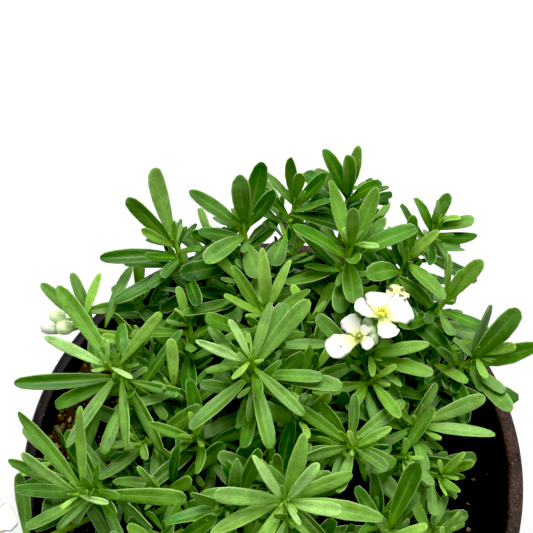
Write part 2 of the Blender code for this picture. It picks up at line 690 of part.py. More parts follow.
def pot_profile():
    """The pot's section as (radius, height), from the middle of its underside to the middle of its floor."""
    lip_inside = RIM_RADIUS - LIP_WIDTH
    shoulder = inner_radius(RIM_HEIGHT - LIP_DEPTH) + WALL
    return [
        (0, 0),
        (FOOT_RADIUS - 1 * MM, 0),
        (FOOT_RADIUS, 1 * MM),
        (shoulder, RIM_HEIGHT - LIP_DEPTH),
        (RIM_RADIUS - 0.4 * MM, RIM_HEIGHT - LIP_DEPTH + 0.6 * MM),
        (RIM_RADIUS, RIM_HEIGHT - 2.6 * MM),
        (RIM_RADIUS - 0.9 * MM, RIM_HEIGHT - 0.7 * MM),
        (RIM_RADIUS - 2.4 * MM, RIM_HEIGHT),
        (lip_inside + 1.2 * MM, RIM_HEIGHT - 0.2 * MM),
        (lip_inside, RIM_HEIGHT - 1.5 * MM),
        (inner_radius(FLOOR), FLOOR),
        (0, FLOOR),
    ]


def slot_place(number):
    """The place and size of one drainage slot's cutter, as a matrix for a unit cube."""
    turn = Matrix.Rotation(2 * math.pi * (number + 0.5) / SLOTS, 4, "Z")
    move = Matrix.Translation((FOOT_RADIUS, 0, SLOT_HEIGHT / 2 - SLOT_BELOW))
    return turn @ move @ Matrix.Diagonal((2 * SLOT_DEPTH, SLOT_WIDTH, SLOT_HEIGHT + 2 * SLOT_BELOW, 1))


def lay_out():
    """The plant's layout: the shoots with their leaves, the florets, the buds, and all that takes up room."""
    shoots = place_shoots()
    obstacles = Obstacles()
    for shoot in shoots:
        obstacles.add(shoot.name, *shoot.curve.tube(shoot.foot_radius, TIP_RADIUS, margin=LEAF_GAP))
    florets = make_florets(shoots, obstacles)
    clusters = make_buds(shoots, obstacles)
    place_leaves(shoots, obstacles)
    return shoots, florets, clusters, obstacles


def add_object(name, points, faces, collection=None):
    """An object of its own from points and faces."""
    mesh = bpy.data.meshes.new(name)
    mesh.from_pydata([tuple(p) for p in points], [], [tuple(f) for f in faces])
    mesh.update()
    shape = bpy.data.objects.new(name, mesh)
    (collection or bpy.context.scene.collection).objects.link(shape)
    return shape


def material(name, colour, roughness):
    """A plain shader in the colour of the piece."""
    made = bpy.data.materials.get(name) or bpy.data.materials.new(name)
    made.use_nodes = True
    shader = made.node_tree.nodes["Principled BSDF"]
    shader.inputs["Base Color"].default_value = (*colour, 1)
    shader.inputs["Roughness"].default_value = roughness
    return made


def paint(shape, name, colour, roughness):
    shape.data.materials.clear()
    shape.data.materials.append(material(name, colour, roughness))


def cut_or_join(shape, collection, operation):
    """Applies one Boolean with all that a collection holds, then removes the collection's objects."""
    tool = shape.modifiers.new("Join", "BOOLEAN")
    tool.operation = operation
    tool.operand_type = "COLLECTION"
    tool.collection = collection
    tool.solver = "EXACT"
    bpy.context.view_layer.update()
    evaluated = shape.evaluated_get(bpy.context.evaluated_depsgraph_get())
    joined = bpy.data.meshes.new_from_object(evaluated)
    shape.modifiers.remove(tool)
    shape.data = joined
    for other in list(collection.objects):
        bpy.data.objects.remove(other)
    bpy.data.collections.remove(collection)


def is_closed(mesh):
    """True if every edge has exactly two faces."""
    faces_on = Counter(key for face in mesh.polygons for key in face.edge_keys)
    return all(count == 2 for count in faces_on.values())


def trim_slivers(shape):
    """Collapses the slivers that a union leaves: two triangles for each edge shorter than the limit."""
    mesh = shape.data
    mesh.calc_loop_triangles()
    ends = [[mesh.vertices[index].co for index in edge.vertices] for edge in mesh.edges]
    short = sum((first - last).length < SHORT_EDGE for first, last in ends)
    trimmer = shape.modifiers.new("Trim", "DECIMATE")
    for strength in (1, 0.7, 0.4):
        trimmer.ratio = 1 - 2 * strength * short / len(mesh.loop_triangles)
        bpy.context.view_layer.update()
        trimmed = bpy.data.meshes.new_from_object(shape.evaluated_get(bpy.context.evaluated_depsgraph_get()))
        if is_closed(trimmed):
            shape.data = trimmed
            break
    shape.modifiers.remove(trimmer)


def new_collection(name):
    made = bpy.data.collections.new(name)
    bpy.context.scene.collection.children.link(made)
    return made


def make_pot():
    """The pot's tapered wall, floor and rolled lip, with slots cut through the foot for drainage."""
    pot = add_object("pot", *turned_shape(pot_profile(), POT_SIDES))
    cutters = new_collection("slot cutters")
    for number in range(SLOTS):
        cutter = bmesh.new()
        bmesh.ops.create_cube(cutter, size=1, matrix=slot_place(number))
        mesh = bpy.data.meshes.new("slot")
        cutter.to_mesh(mesh)
        cutter.free()
        cutters.objects.link(bpy.data.objects.new("slot", mesh))
    cut_or_join(pot, cutters, "DIFFERENCE")
    paint(pot, "pot plastic", (0.018, 0.014, 0.013), 0.45)
    pot.data.shade_smooth()
    pot.data.set_sharp_from_angle(angle=math.radians(32))
    return pot


def make_soil(rooted):
    """The mix: a plug that fills the pot, with a lumpy top and a plain hole for each root."""
    top = RIM_HEIGHT - SOIL_DROP
    foot, edge = inner_radius(FLOOR + 0.4 * MM) - SOIL_GAP, inner_radius(top) - SOIL_GAP
    profile = [(0, FLOOR + 0.4 * MM), (foot, FLOOR + 0.4 * MM), (edge, top)]
    profile += [(r * MM, top) for r in reversed(SOIL_RINGS)] + [(0, top)]
    soil = add_object("potting_mix", *turned_shape(profile, SOIL_SIDES))
    for vertex in soil.data.vertices:
        if vertex.co.z > top - 1e-5:
            vertex.co.z = soil_height(vertex.co.x, vertex.co.y)
    cutters = new_collection("root cutters")
    for shoot in rooted:
        start = shoot.curve.at(0)
        radius = (STEM_RADIUS + HOLE_GAP) / math.cos(math.pi / HOLE_SIDES)
        height = ROOT_DEPTH + HOLE_ABOVE
        middle = Matrix.Translation((start.x, start.y, start.z - ROOT_DEPTH - HOLE_GAP + height / 2))
        cutter = bmesh.new()
        bmesh.ops.create_cone(cutter, cap_ends=True, segments=HOLE_SIDES, radius1=radius, radius2=radius,
                              depth=height, matrix=middle)
        mesh = bpy.data.meshes.new("root")
        cutter.to_mesh(mesh)
        cutter.free()
        cutters.objects.link(bpy.data.objects.new("root", mesh))
    cut_or_join(soil, cutters, "DIFFERENCE")
    paint(soil, "potting mix", (0.022, 0.014, 0.009), 0.95)
    return soil


def build_floret(name, centre, axis, petals):
    """A floret as one solid: its heart joined to its petals."""
    heart = add_object(name, *bud_shape(centre, axis, HEART_LENGTH))
    others = new_collection(name + " petals")
    for petal in petals:
        add_object("petal", *petal.corners(), collection=others)
    cut_or_join(heart, others, "UNION")
    trim_slivers(heart)
    paint(heart, "petal", (0.86, 0.87, 0.82), 0.5)


def build_buds(name, cluster):
    """A cluster of buds as one solid."""
    first = add_object(name, *bud_shape(*cluster[0]))
    others = new_collection(name + " rest")
    for bud in cluster[1:]:
        add_object("bud", *bud_shape(*bud), collection=others)
    cut_or_join(first, others, "UNION")
    paint(first, "bud", (0.62, 0.70, 0.45), 0.5)


def build_plant(shoots):
    """One solid for each rooted stem: its own tube, the forks, stalks, buds and all their leaves, joined."""
    for number, stem in enumerate([s for s in shoots if not s.parent], 1):
        name = f"stem_{number:02d}_{stem.name}"
        trunk = add_object(name, *stem.curve.tube(STEM_RADIUS, TIP_RADIUS))
        others = new_collection(name + " pieces")
        for shoot in shoots:
            if shoot.node is not stem:
                continue
            if shoot is not stem:
                add_object("fork", *shoot.curve.tube(TWIG_RADIUS, TIP_RADIUS), collection=others)
            for stalk in shoot.stalks:
                tube = stalk.tube(STALK_RADIUS, STALK_RADIUS, sides=STALK_SIDES, past_tip=0)
                add_object("stalk", *tube, collection=others)
            for leaf in shoot.leaves:
                add_object("leaf", *leaf.corners(), collection=others)
        cut_or_join(trunk, others, "UNION")
        trim_slivers(trunk)
        paint(trunk, "leaf", (0.10, 0.26, 0.035), 0.5)


def main():
    for shape in list(bpy.data.objects):
        bpy.data.objects.remove(shape)
    shoots, florets, clusters, _ = lay_out()
    make_pot()
    make_soil([s for s in shoots if not s.parent])
    for number, floret in enumerate(florets, 1):
        build_floret(f"floret_{number:02d}", *floret)
    for number, cluster in enumerate(clusters, 1):
        build_buds(f"buds_{number:02d}", cluster)
    build_plant(shoots)


if __name__ == "__main__":
    main()
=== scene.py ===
"""The looks of a candytuft in a round nursery pot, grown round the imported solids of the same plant.

Metres, +Z up. The origin is the centre of the pot's underside, and -Y is the side that is looked at from.
The plant is laid out by the same rules and draws as its solids, so every leaf is where its solid is.
"""

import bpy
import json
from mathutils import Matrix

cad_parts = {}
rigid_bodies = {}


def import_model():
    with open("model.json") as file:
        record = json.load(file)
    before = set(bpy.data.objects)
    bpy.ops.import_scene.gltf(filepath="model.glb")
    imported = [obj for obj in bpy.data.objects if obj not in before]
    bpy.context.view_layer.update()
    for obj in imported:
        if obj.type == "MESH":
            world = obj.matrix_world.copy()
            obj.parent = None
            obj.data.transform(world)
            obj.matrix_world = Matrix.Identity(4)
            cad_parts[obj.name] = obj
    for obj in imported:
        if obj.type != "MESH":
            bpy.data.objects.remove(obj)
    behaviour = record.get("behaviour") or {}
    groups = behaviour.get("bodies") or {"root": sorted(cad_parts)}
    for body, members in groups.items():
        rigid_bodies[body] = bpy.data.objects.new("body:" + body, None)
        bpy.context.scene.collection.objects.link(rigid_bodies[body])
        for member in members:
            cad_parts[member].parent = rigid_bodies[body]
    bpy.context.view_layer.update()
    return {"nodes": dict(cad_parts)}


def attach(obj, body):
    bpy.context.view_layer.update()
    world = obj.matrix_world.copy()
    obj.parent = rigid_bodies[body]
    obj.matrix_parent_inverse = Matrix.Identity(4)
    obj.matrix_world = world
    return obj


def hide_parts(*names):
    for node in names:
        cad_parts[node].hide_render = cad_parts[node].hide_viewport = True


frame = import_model()

import functools
import json
import random
from math import atan2, cos, degrees, hypot, pi, radians, sin, sqrt

import bmesh
import bpy
from bpy.props import FloatProperty, FloatVectorProperty, IntProperty
from mathutils import Matrix, Vector
from mathutils.bvhtree import BVHTree

bl_info = {
    "name": "Potted candytuft",
    "version": (1, 0, 0),
    "blender": (4, 5, 0),
    "location": "View3D > Sidebar > Candytuft",
    "description": "Grows the foliage, flowers, potting mix and pot of a candytuft round its solids",
    "category": "Add Mesh",
}

MM = 0.001

# Pot: a thin-walled tapered nursery pot with a rolled lip and drainage slots round its foot
RIM_RADIUS = 82.5 * MM
RIM_HEIGHT = 160 * MM
LIP_DEPTH = 11 * MM
LIP_WIDTH = 5.6 * MM
FOOT_RADIUS = 63 * MM
WALL = 1.9 * MM
FLOOR = 3 * MM
SLOTS = 6
SLOT_WIDTH = 15 * MM
SLOT_HEIGHT = 6.5 * MM
SLOT_DEPTH = 12 * MM
SLOT_BELOW = 1 * MM

# Potting mix: filled to just under the lip, a little higher in the middle, heaped up against the left wall,
# with a lumpy top
SOIL_DROP = 11 * MM
SOIL_CROWN = 5 * MM
SOIL_HEAP = 7 * MM
SOIL_HEAP_FROM = 32 * MM
SOIL_HEAP_RUN = 34 * MM
SOIL_LUMP = 0.8 * MM
SOIL_FINE = 0.6
SOIL_WAVES = (215, 190, 520, 470)
SOIL_GAP = 0.6 * MM

# Stems: rooted in the mix, slender, leaning outwards towards the rim. Rises and leans are in degrees,
# and CURVE_STEP is the share of a path in which it is measured.
ROOT_DEPTH = 12 * MM
ROOT_SPREAD = 0.30
ROOT_SPACING = 6.5 * MM
ROOT_ROUNDS = 200
ROOT_PUSH = 0.25
STEM_RADIUS = 1.5 * MM
TWIG_RADIUS = 1.0 * MM
TIP_RADIUS = 0.75 * MM
TIP_POINT = 1.6 * MM
STEM_SIDES = 4
STEM_STEP = 14 * MM
START_PULL = 0.36
END_PULL = 0.34
CURVE_STEP = 0.01
LEAST_PIECES = 3
FORK_AT = 0.42
FORK_REACH = 24 * MM
FORKS_EACH = 2
FORK_TURN = 0.4
ROOT_RISE = 74
TIP_RISE = 82
EDGE_LEAN = 34
EDGE_REACH = 80 * MM

# Leaves: spoon-shaped blades, widest past the middle, blunt at the tip, shallowly channelled.
# Breadth is half the width as a share of the length, and angles are in degrees. The keel's depth is the
# first share of the thickness where the blade has no width, and both together where it is widest.
LEAF_BREADTH = 0.112
LEAF_FOOT = 0.16
LEAF_WIDEST = 0.71
LEAF_TIP = 3.2
LEAF_THICKNESS = 0.75 * MM
LEAF_CHANNEL = 0.14
KEEL_DEPTH = (0.6, 0.4)
LEAF_CURL = (8, 34)
LEAF_ROLL = 22
LEAF_START = 0.4 * MM
CROWN_RISE = 4 * MM
LIGHT_WAY = (0, -0.30, 0.95)
AXIS_SHARE = 0.5
LEAF_SPACING = 1.0 * MM
LEAF_LENGTH = 23 * MM
LEAF_STATIONS = (0.0, 0.34, 0.74, 0.94)
LOW_LEAF_STATIONS = (0.0, 0.42, 0.86)
LOW_LEAVES = 3
SPARSE_LEAVES = 2
SPARSE_SHOOTS = ("bud", "corner_flower")
BROAD_SHOOTS = ("far_centre", "far_top", "far_left_top", "far_middle", "far_right", "right_upper",
                "right_edge", "right")
BROAD_SHARE = 1.22
SLIM_SHARES = {"centre": 0.86, "left": 0.74, "near_left": 0.74}
LOW_SPACING = 3.2 * MM
FILL_SPACING = 1.9 * MM
LOW_OPENING = (22, 84)
LOW_LENGTH = (0.45, 1.0)
LOW_GROWTH = 1.6
OPENING_SWAY = (-6, 8)
SPIN_SWAY = 10
LENGTH_SWAY = (0.9, 1.12)
GOLDEN_ANGLE = 137.5
LEAF_GAP = 0.25 * MM
CHECK_STEPS = 8
LEAST_SIDE = 0.05
FREE_FROM = 0.24
RIM_CLEAR = 1.5 * MM
RIM_ABOVE = 0.8 * MM
SOIL_CLEAR = 1.0 * MM

# Petals, their stalks and the florets' hearts
PETAL_CLAW = 0.42
PETAL_WIDEST = 0.62
PETAL_TIP = 2.6
PETAL_LIFT = 0.16
PETAL_CURL = 26
PETAL_ROLL = 4
PETAL_THICKNESS = 0.7 * MM
PETAL_STATIONS = (0.0, 0.40, 0.82)
HEART_LENGTH = 2.34 * MM
STALK_RADIUS = 0.5 * MM
STALK_SIDES = 4
STALK_PIECES = 4
STALK_GAP = 0.4 * MM
STALK_START = 0.98
STALK_STEP = 0.02

# Leafy shoots that show from above: name, tip (x, y, height), the shoot that it branches from,
# and its large leaves from the youngest down, each (bearing, rise, length in mm)
SHOOTS = [
    ("centre", (-6, 12, 62), None, [(238, 35, 12), (120, 40, 15), (163, 22, 18), (71, 25, 20), (313, 5, 22),
     (51, 25, 26), (281, 3, 25), (346, 12, 28), (222, 7, 27)]),
    ("crown", (-2, 30, 55), "centre", [(91, 55, 21), (56, 35, 18), (174, 45, 18), (20, 40, 18),
     (130, 35, 20), (300, 30, 14)]),
    ("near_centre", (3, -27, 62), None, [(298, 25, 9), (44, 40, 16), (135, 42, 18), (343, 24, 18),
     (56, 48, 24), (182, 25, 22), (349, 9, 29), (245, 20, 22), (205, 10, 24)]),
    ("far_centre", (24, 54, 50), None, [(144, 50, 7), (346, 22, 9), (89, 74, 19), (108, 35, 24),
     (60, 42, 23), (21, 20, 24), (166, 39, 24), (271, 30, 23), (201, 8, 21), (44, 28, 20)]),
    ("far_top", (24, 75, 46), "far_centre", [(300, 55, 6), (85, 62, 18), (148, 20, 14), (109, 72, 19),
     (132, 52, 20), (20, 62, 19), (352, 52, 20)]),
    ("far_left_top", (-9, 64, 45), None, [(84, 72, 16), (112, 74, 22), (154, 32, 22), (35, 50, 18),
     (72, 52, 26), (228, 28, 22), (190, 35, 18)]),
    ("far_middle", (7, 73, 42), "far_left_top", [(57, 80, 14), (100, 60, 17), (150, 45, 18), (30, 45, 18),
     (350, 40, 16)]),
    ("far_left", (-30, 57, 45), None, [(70, 72, 9), (116, 51, 27), (175, 45, 15), (142, 42, 24),
     (335, 50, 13), (190, 5, 25), (205, 50, 17), (234, 24, 18), (213, 0, 26)]),
    ("left", (-47, 15, 50), None, [(85, 52, 9), (326, 24, 10), (163, 34, 23), (44, 16, 23), (126.5, 27, 31),
     (236, 0, 27), (276, 7, 25), (190, 13, 33), (300, -8, 26), (350, -5, 23)]),
    ("near_left", (-54, -21, 45), None, [(335, 27, 12), (151, 40, 23), (89, 43, 28), (135, 22, 31),
     (356, 12, 31), (220, 32, 24), (162, 28, 27), (232, 20, 16), (189, 38, 28), (300, 5, 22)]),
    ("far_right", (51, 66, 40), None, [(343, 50, 11), (106, 75, 12), (356, 52, 18), (152, 62, 18),
     (330, 35, 18), (60, 45, 16), (210, 30, 16)]),
    ("right_upper", (41, 52, 44), "far_right", [(23, 50, 15), (160, 55, 10), (298, 25, 22), (75, 50, 17),
     (245, 25, 15), (130, 40, 16)]),
    ("right_edge", (53, 41, 38), None, [(101, 66, 20), (60, 60, 14), (42, 58, 20), (20, 42, 27),
     (285, 30, 15), (330, 20, 18), (150, 35, 18)]),
    ("right", (62, 24, 35), None, [(359, 44, 13), (275, 33, 11), (159, 52, 15), (70, 56, 23), (36, 52, 26),
     (356, 40, 26), (306, 17, 22), (250, 22, 13)]),
    ("flower", (28, 21, 44), None, [(273, 32, 12), (348, 38, 22), (310, 19, 16), (334, 26, 24),
     (200, 15, 22), (150, 25, 22), (60, 25, 20), (100, 40, 18)]),
    ("near_flower", (22, -9, 48), "flower", [(120, 60, 8), (19, 38, 14), (259, 33, 18), (204, 30, 18),
     (320, 30, 16), (80, 35, 16), (150, 20, 20)]),
    ("right_middle", (43, 2, 36), None, [(90, 60, 8), (20, 18, 22), (349, 8, 24), (140, 35, 16),
     (214, 14, 16), (280, 20, 17), (60, 30, 17)]),
    ("near_right", (49, -12, 30), "right_middle", [(120, 65, 8), (39, 60, 14), (5, 46, 14), (306, 46, 14),
     (265, 23, 16), (233, 19, 17), (180, 20, 15)]),
    ("near_right_low", (47, -31, 30), None, [(90, 70, 9), (47, 62, 16), (340, 35, 17), (130, 40, 17),
     (290, 30, 18), (200, 25, 18), (250, 15, 19)]),
    ("under_flower", (29, 13, 44), "flower", [(90, 60, 9), (5, 20, 15), (300, 30, 19), (95, 45, 16),
     (190, 20, 20), (240, 35, 17), (50, 30, 16)]),
    ("far_low", (7, 58, 34), "far_left_top", []),
    ("far_left_low", (-19, 62, 32), "far_left", []),
    ("far_inner", (-10, 47, 38), "far_left_top", []),
    ("far_right_low", (30, 68, 30), "far_centre", []),
    ("middle_left", (-25, 33, 38), "left", []),
    ("left_low", (-38, -5, 38), "left", []),
    ("right_low", (24, 40, 36), "right_edge", []),
    ("bud", (-57, 33, 38), "far_left", [(60, 35, 17), (150, 40, 20), (200, 20, 16), (110, 30, 18)]),
    ("corner_flower", (-72, -34, 38), "near_left", [(250, 25, 19), (200, 10, 18), (300, 15, 18),
     (335, 5, 16)]),
]

# Shoots that fill the rest of the mound: a sunflower spiral, clear of those above and of the bare patches
FAR_SIDE = -25 * MM
FILL_COUNT = 50
FILL_RADIUS = 74 * MM
FILL_CLEARANCE = 16.5 * MM
FILL_TOP = 54 * MM
FILL_EDGE = 28 * MM
FILL_LOW = 10 * MM
FILL_CROWDING = 0.7
FILL_LEAVES = 6
FAR_LEAVES = 7
BARE_PATCHES = [(70, -18, 24), (-62, 52, 20), (-72, 8, 12), (66, 52, 10)]

# Florets: the shoot that carries it, its heart (x, y, height), the way that it faces (bearing, rise),
# and its petals, each (bearing, length in mm, half its width as a share of the length)
FLORETS = [
    ("flower", (25.0, 22.1, 59.5), (235, 74),
     [(205, 11.2, 0.30), (120, 7.4, 0.38), (316, 5.2, 0.36), (46, 4.0, 0.40)]),
    ("flower", (31.4, 27.4, 62.5), (60, 76),
     [(88, 8.4, 0.54), (22, 10.2, 0.44), (158, 8.8, 0.34), (283, 9.4, 0.30)]),
    ("flower", (37.2, 37.6, 54), (70, 60),
     [(85, 4.6, 0.50), (5, 4.0, 0.40), (165, 3.8, 0.40), (265, 3.0, 0.40)]),
    ("corner_flower", (-80.5, -31.0, 51), (40, 68),
     [(26, 9.4, 0.40), (94, 9.4, 0.40), (206, 5.0, 0.38), (274, 5.0, 0.38)]),
    ("corner_flower", (-83.0, -42.0, 49), (230, 60),
     [(206, 9.0, 0.40), (274, 9.0, 0.40), (26, 4.8, 0.38), (94, 4.8, 0.38)]),
    ("corner_flower", (-90.0, -34.5, 47), (180, 50),
     [(141, 8.6, 0.40), (209, 8.6, 0.40), (321, 4.6, 0.38), (29, 4.6, 0.38)]),
]

# Clusters of buds that touch: the shoot that carries them, and each bud's centre (x, y, height) and length
# in mm
BUD_CLUSTERS = [
    ("flower", [((27.6, 26.8, 57.8), 4.2), ((28.6, 24.6, 57.4), 4.4), ((29.2, 22.4, 56.6), 4.2)]),
    ("bud", [((-64.7, 31.2, 52.6), 5.9), ((-62.5, 27.9, 52.2), 6.1), ((-67.0, 28.2, 51.8), 6)]),
]
BUD_BREADTH = 0.44
BUD_SIDES = 5
BUD_RINGS = ((-0.25, 0.9), (0.25, 0.85))
BUD_LIFT = 4 * MM

# The nudges tried in turn where a leaf would touch something: turn, lift (degrees) and share of the length
NUDGES = [(0, 0, 1.0), (7, 0, 1.0), (-7, 0, 1.0), (0, 8, 1.0), (0, -8, 1.0), (10, 8, 0.95), (-10, 8, 0.95),
          (12, -8, 0.92), (-12, -8, 0.92), (0, 18, 0.9), (20, 0, 0.85), (-20, 0, 0.85), (28, 12, 0.75),
          (-28, 12, 0.75), (0, 30, 0.7)]

# Seeds of what is drawn by chance. The first six have the number of the shoot, piece or crumb added
FILL_SEED = 100
SMALL_LEAF_SEED = 5000
STEM_SEED = 900
FLORET_SEED = 700
BUD_SEED = 600
CRUMB_SEED = 40
SCATTER_SEED = 7
FORM_SEED = 14
TURN_SEED = 15
SIZE_SEED = 16
CHANCE_SEED = 17

# Small leaves that the solids leave out, in tufts at the tips and down the stems: angles are in degrees
TUFT_LEAVES = 6
TUFT_STEP = 0.35 * MM
TUFT_LENGTH = (2.6 * MM, 1.2 * MM)
TUFT_LENGTH_SWAY = (0.85, 1.1)
TUFT_OPENING = (9, 9)
TUFT_SWAY = 4
TUFT_CURL = (10, 40)
TUFT_ROLL = 15
EXTRA_LEAVES = 11
EXTRA_START = 7 * MM
EXTRA_STEP = 2.4 * MM
EXTRA_LENGTH = (14 * MM, 24 * MM)
EXTRA_OPENING = (52, 88)
EXTRA_ROLL = 12
EXTRA_TURNS = 9
EXTRA_TRIES = 4
RETRY_TURN = 25
RETRY_SHARE = 0.88

# Side twigs with their leaves: TWIG_TURN from one to the next and TWIG_SPIN of the first leaf are in radians
TWIG_PLACES = (8 * MM, 13 * MM, 19 * MM, 26 * MM, 34 * MM)
TWIG_OPENING = (32, 48)
TWIG_TURN = 2.4
TWIG_REACH = (4 * MM, 8 * MM)
TWIG_SHARES = (1.0, 0.8, 0.5)
TWIG_SPIN = (0, 6)
TWIG_LEAVES = 6
TWIG_LEAF = (6 * MM, 13 * MM)
TWIG_LEAF_OPENING = (14, 56)
TWIG_LEAF_RUN = 0.35
TWIG_TRIES = 2

# Repeated shapes: the kinds in the order of their names, the stations along them and their sections.
# A blade's depth goes by its width like the keel's, and an egg is wider at its foot.
STEM_KIND, LEAF_KIND, PETAL_KIND, BUD_KIND, ANTHER_KIND, YOUNG_KIND = -1, 0, 1, 2, 3, 4
LEAF_RINGS = (0.0, 0.16, 0.38, 0.6, 0.79, 0.92, 0.985)
YOUNG_RINGS = (0.0, 0.25, 0.55, 0.8, 0.95)
PETAL_RINGS = tuple(sin(pi / 2 * k / 26) for k in range(26))
LEAF_SECTION = ((-1, -0.5), (-0.86, 0), (-0.4, 0), (0, 0.0), (0.4, 0), (0.86, 0), (1, -0.5), (0, -1.0))
YOUNG_SECTION = ((-1, -0.5), (-0.8, 0), (0, 0), (0.8, 0), (1, -0.5), (0, -1))
PETAL_SECTION = ((-1, -0.5), (-0.72, 0), (-0.36, 0.1), (0, 0), (0.36, 0.1), (0.72, 0), (1, -0.5), (0.6, -1),
                 (0, -1), (-0.6, -1))
BLADE_DEPTH = (0.55, 0.45)
BLADE_TIP = (1.0, 0.0, -0.4)
HALF_DEPTH = -0.5
EGG_FULLNESS = 0.8
EGG_FOOT = 0.12

# What the plant's tree reads from each foot, and the finish that it gives each kind
VECTORS = ("along", "upward", "breadth", "face")
NUMBERS = ("reach", "half", "depth", "curl", "channel", "twist", "sway", "ripple", "phase", "taper", "fray",
           "blunt", "fold", "radius", "wilt")
SKIN_KINDS = (("Stalk Bark", STEM_KIND), ("Leaf Skin", LEAF_KIND), ("Petal Skin", PETAL_KIND),
              ("Bud Skin", BUD_KIND), ("Anther Skin", ANTHER_KIND), ("Leaf Skin", YOUNG_KIND))
KEPT_ATTRIBUTES = ("place", "tint", "wilt", "material_index", "sharp_face", "sharp_edge")

# How the tree bends a blade: blunt and twisted towards the tip, waved and frayed along the margin.
# It divides by the curl, so a straight shape has LEAST_CURL, in radians.
LEAST_CURL = 0.02
BLUNT_POWER = 5.0
BLUNT_CORNERS = 0.8
TWIST_FROM = 0.15
TAPER_FROM = 0.4
LEAF_WAVES = 11.0
WAVE_SLANT = 1.3
FRAY_WAVES = 23.0
FRAY_PHASE = 3.0
FRAY_SLANT = 2.0

# How one leaf's form varies from the next: shares of its size, but PHASES are radians. Short leaves are
# thinner: their share of the full value is LEAST_THICKNESS plus their length over THICK_FROM.
CHANNELS = (-0.06, 0.16)
FOLDS = (0.05, 0.52)
BLUNTNESS = (0.0, 0.05)
TAPERS = (0.0, 0.1, 0.25, 0.4)
LEAF_SWAY = 0.08
RIPPLES = (0.3, 1.0)
PHASES = (0, 6.28)
THICK_FROM = 18 * MM
LEAST_THICKNESS = 0.3

# Stems and stalks: the steps that they are drawn in, and their thickness against the solid's
PATH_STEPS = 20
STALK_STEPS = 8
STALK_FACETS = 8
POINT_SHARE = 0.3
STALK_SLIM = 0.9
STALK_HEAD = 1.3

# Leaf colour: darker lower over the rim and deeper below the tip, as older leaves and as painted shade
# in the mound, and by age from 0 at the tip to 1
AGE_AND_SHADE_REACH = 62 * MM
AGE_AND_SHADE_DEPTH = 20 * MM
HEIGHT_AGE_AND_SHADE = 1.2
DEPTH_AGE_AND_SHADE = 0.5
GROWN_SWAY = (-0.3, 0.25)
YOUTH = 2.0
YOUTH_FADE = 4
YOUNG_SWAY = (-0.08, 0.14)
GREYED_SHARE = 0.38
BLOOM_SHARE = (0.15, 0.75)
TONE = (0.85, 1.08)
HUE_SWAY = (0.95, 1.05)
LEAF_AGES = (0.2, 0.8)
EXTRA_AGE = 0.85
TUFT_AGE = 0.05

# How much yellower than the others a shoot's leaves are, or darker where this is below 0
FRESHNESS = {"near_centre": 0.3, "centre": 0.12, "crown": 0.15, "left": 0.05, "near_flower": 0.14,
             "flower": 0.08, "near_right": 0.16, "near_right_low": 0.16, "right_middle": 0.1,
             "far_left": -0.1, "far_left_top": -0.3, "far_middle": -0.2, "far_left_low": -0.3,
             "far_inner": -0.2, "far_top": -0.1}

# How much painted sheen, pale as the sky's reflection, some leaves get, by their shoot and their place on it
SHEEN_LEAVES = {"centre": {1: 0.6, 2: 0.85}, "near_centre": {0: 0.8, 1: 0.4, 2: 0.6, 3: 0.4, 5: 0.3},
               "left": {0: 0.4, 1: 0.8, 2: 0.7}, "near_left": {0: 0.8, 1: 0.3},
               "far_centre": {0: 0.5, 1: 0.5}}

# Petals: waved and frayed along the margin, more so where they wilt, and the florets that have
PETAL_SPREAD = 1.1
PETAL_CHANNEL = 0.10
PETAL_TWIST = 0.12
PETAL_RIPPLE = 0.16
WILT_RIPPLE = 0.2
PETAL_FRAY = (0.03, 0.07)
WILT_FRAY = 0.1
PETAL_BLUNTNESS = (0.02, 0.1)
FULL_PETAL = 9 * MM
FLORET_WILT = {3: 1.0}
SPENT_FLORETS = (1, 3)

# Brown spots on the petals: x, y and radius in millimetres
PETAL_SPOTS = [(37.5, 33.9, 1.0), (38.6, 32.5, 0.7), (35.5, 39.6, 1.1), (39.0, 39.8, 0.9), (19.6, 19.4, 0.5)]

# Sepals, ovary and stamens: openings and curl are in degrees from the way that the floret faces
SEPALS = 4
SEPAL_OPENING = 64
SEPAL_FOOT = 0.75
SEPAL_LENGTH = 2.3 * MM
SEPAL_HALF = 0.75 * MM
SEPAL_THICKNESS = 0.4 * MM
SEPAL_CURL = 30
OVARY_LENGTH = 1.1
OVARY_HALF = 0.34
STAMENS = 6
STAMEN_OPENINGS = (30, 38)
STAMEN_SWAY = 12
FILAMENT = 2.2 * MM
FILAMENT_RADIUS = 0.16 * MM
ANTHER_LEAN = (30, 80)
ANTHER_HOLD = 0.3
ANTHER_LENGTH = 1.6 * MM
ANTHER_HALF = 0.6 * MM
SPENT_REACH = 0.6

# Buds: a little slimmer than the solids', and nearly white from PALE_BUDS_FROM to the left
BUD_SLIM = 0.95
BUD_WHITE = (0.0, 0.2)
PALE_BUD_WHITE = 0.7
PALE_BUDS_FROM = -66 * MM

# Pot: how finely it is drawn. A rounding takes no more than CORNER_REACH of an edge.
CORNER_REACH = 0.45
POT_SHARP_FROM = 34
SLOT_STEPS = 4
SLOT_LONG = 1.2 * SLOT_WIDTH
SLOT_ROUNDING = 1.5 * MM

# Mix: how finely it is drawn, and the crumbs' forms, turns in radians and shares of the full size
MIX_RINGS = 56
MIX_SIDES = 216
MIX_FOOT = FLOOR + 0.4 * MM
LOOSE_RUN = 0.03
HAIR = 1e-6
LUMP_GRAIN = 7 * MM
LUMP_ROUGHNESS = 0.72
CRUMB_FORMS = ((1.0, 0.8, 0.7), (0.9, 1.0, 0.6), (1.5, 0.6, 0.28), (1.3, 0.9, 0.22))
CRUMB_WOBBLE = (0.68, 1.15)
CRUMB_TURN = (1.2, 1.2, 6.28)
CRUMB_SHARE = (0.35, 1.0)
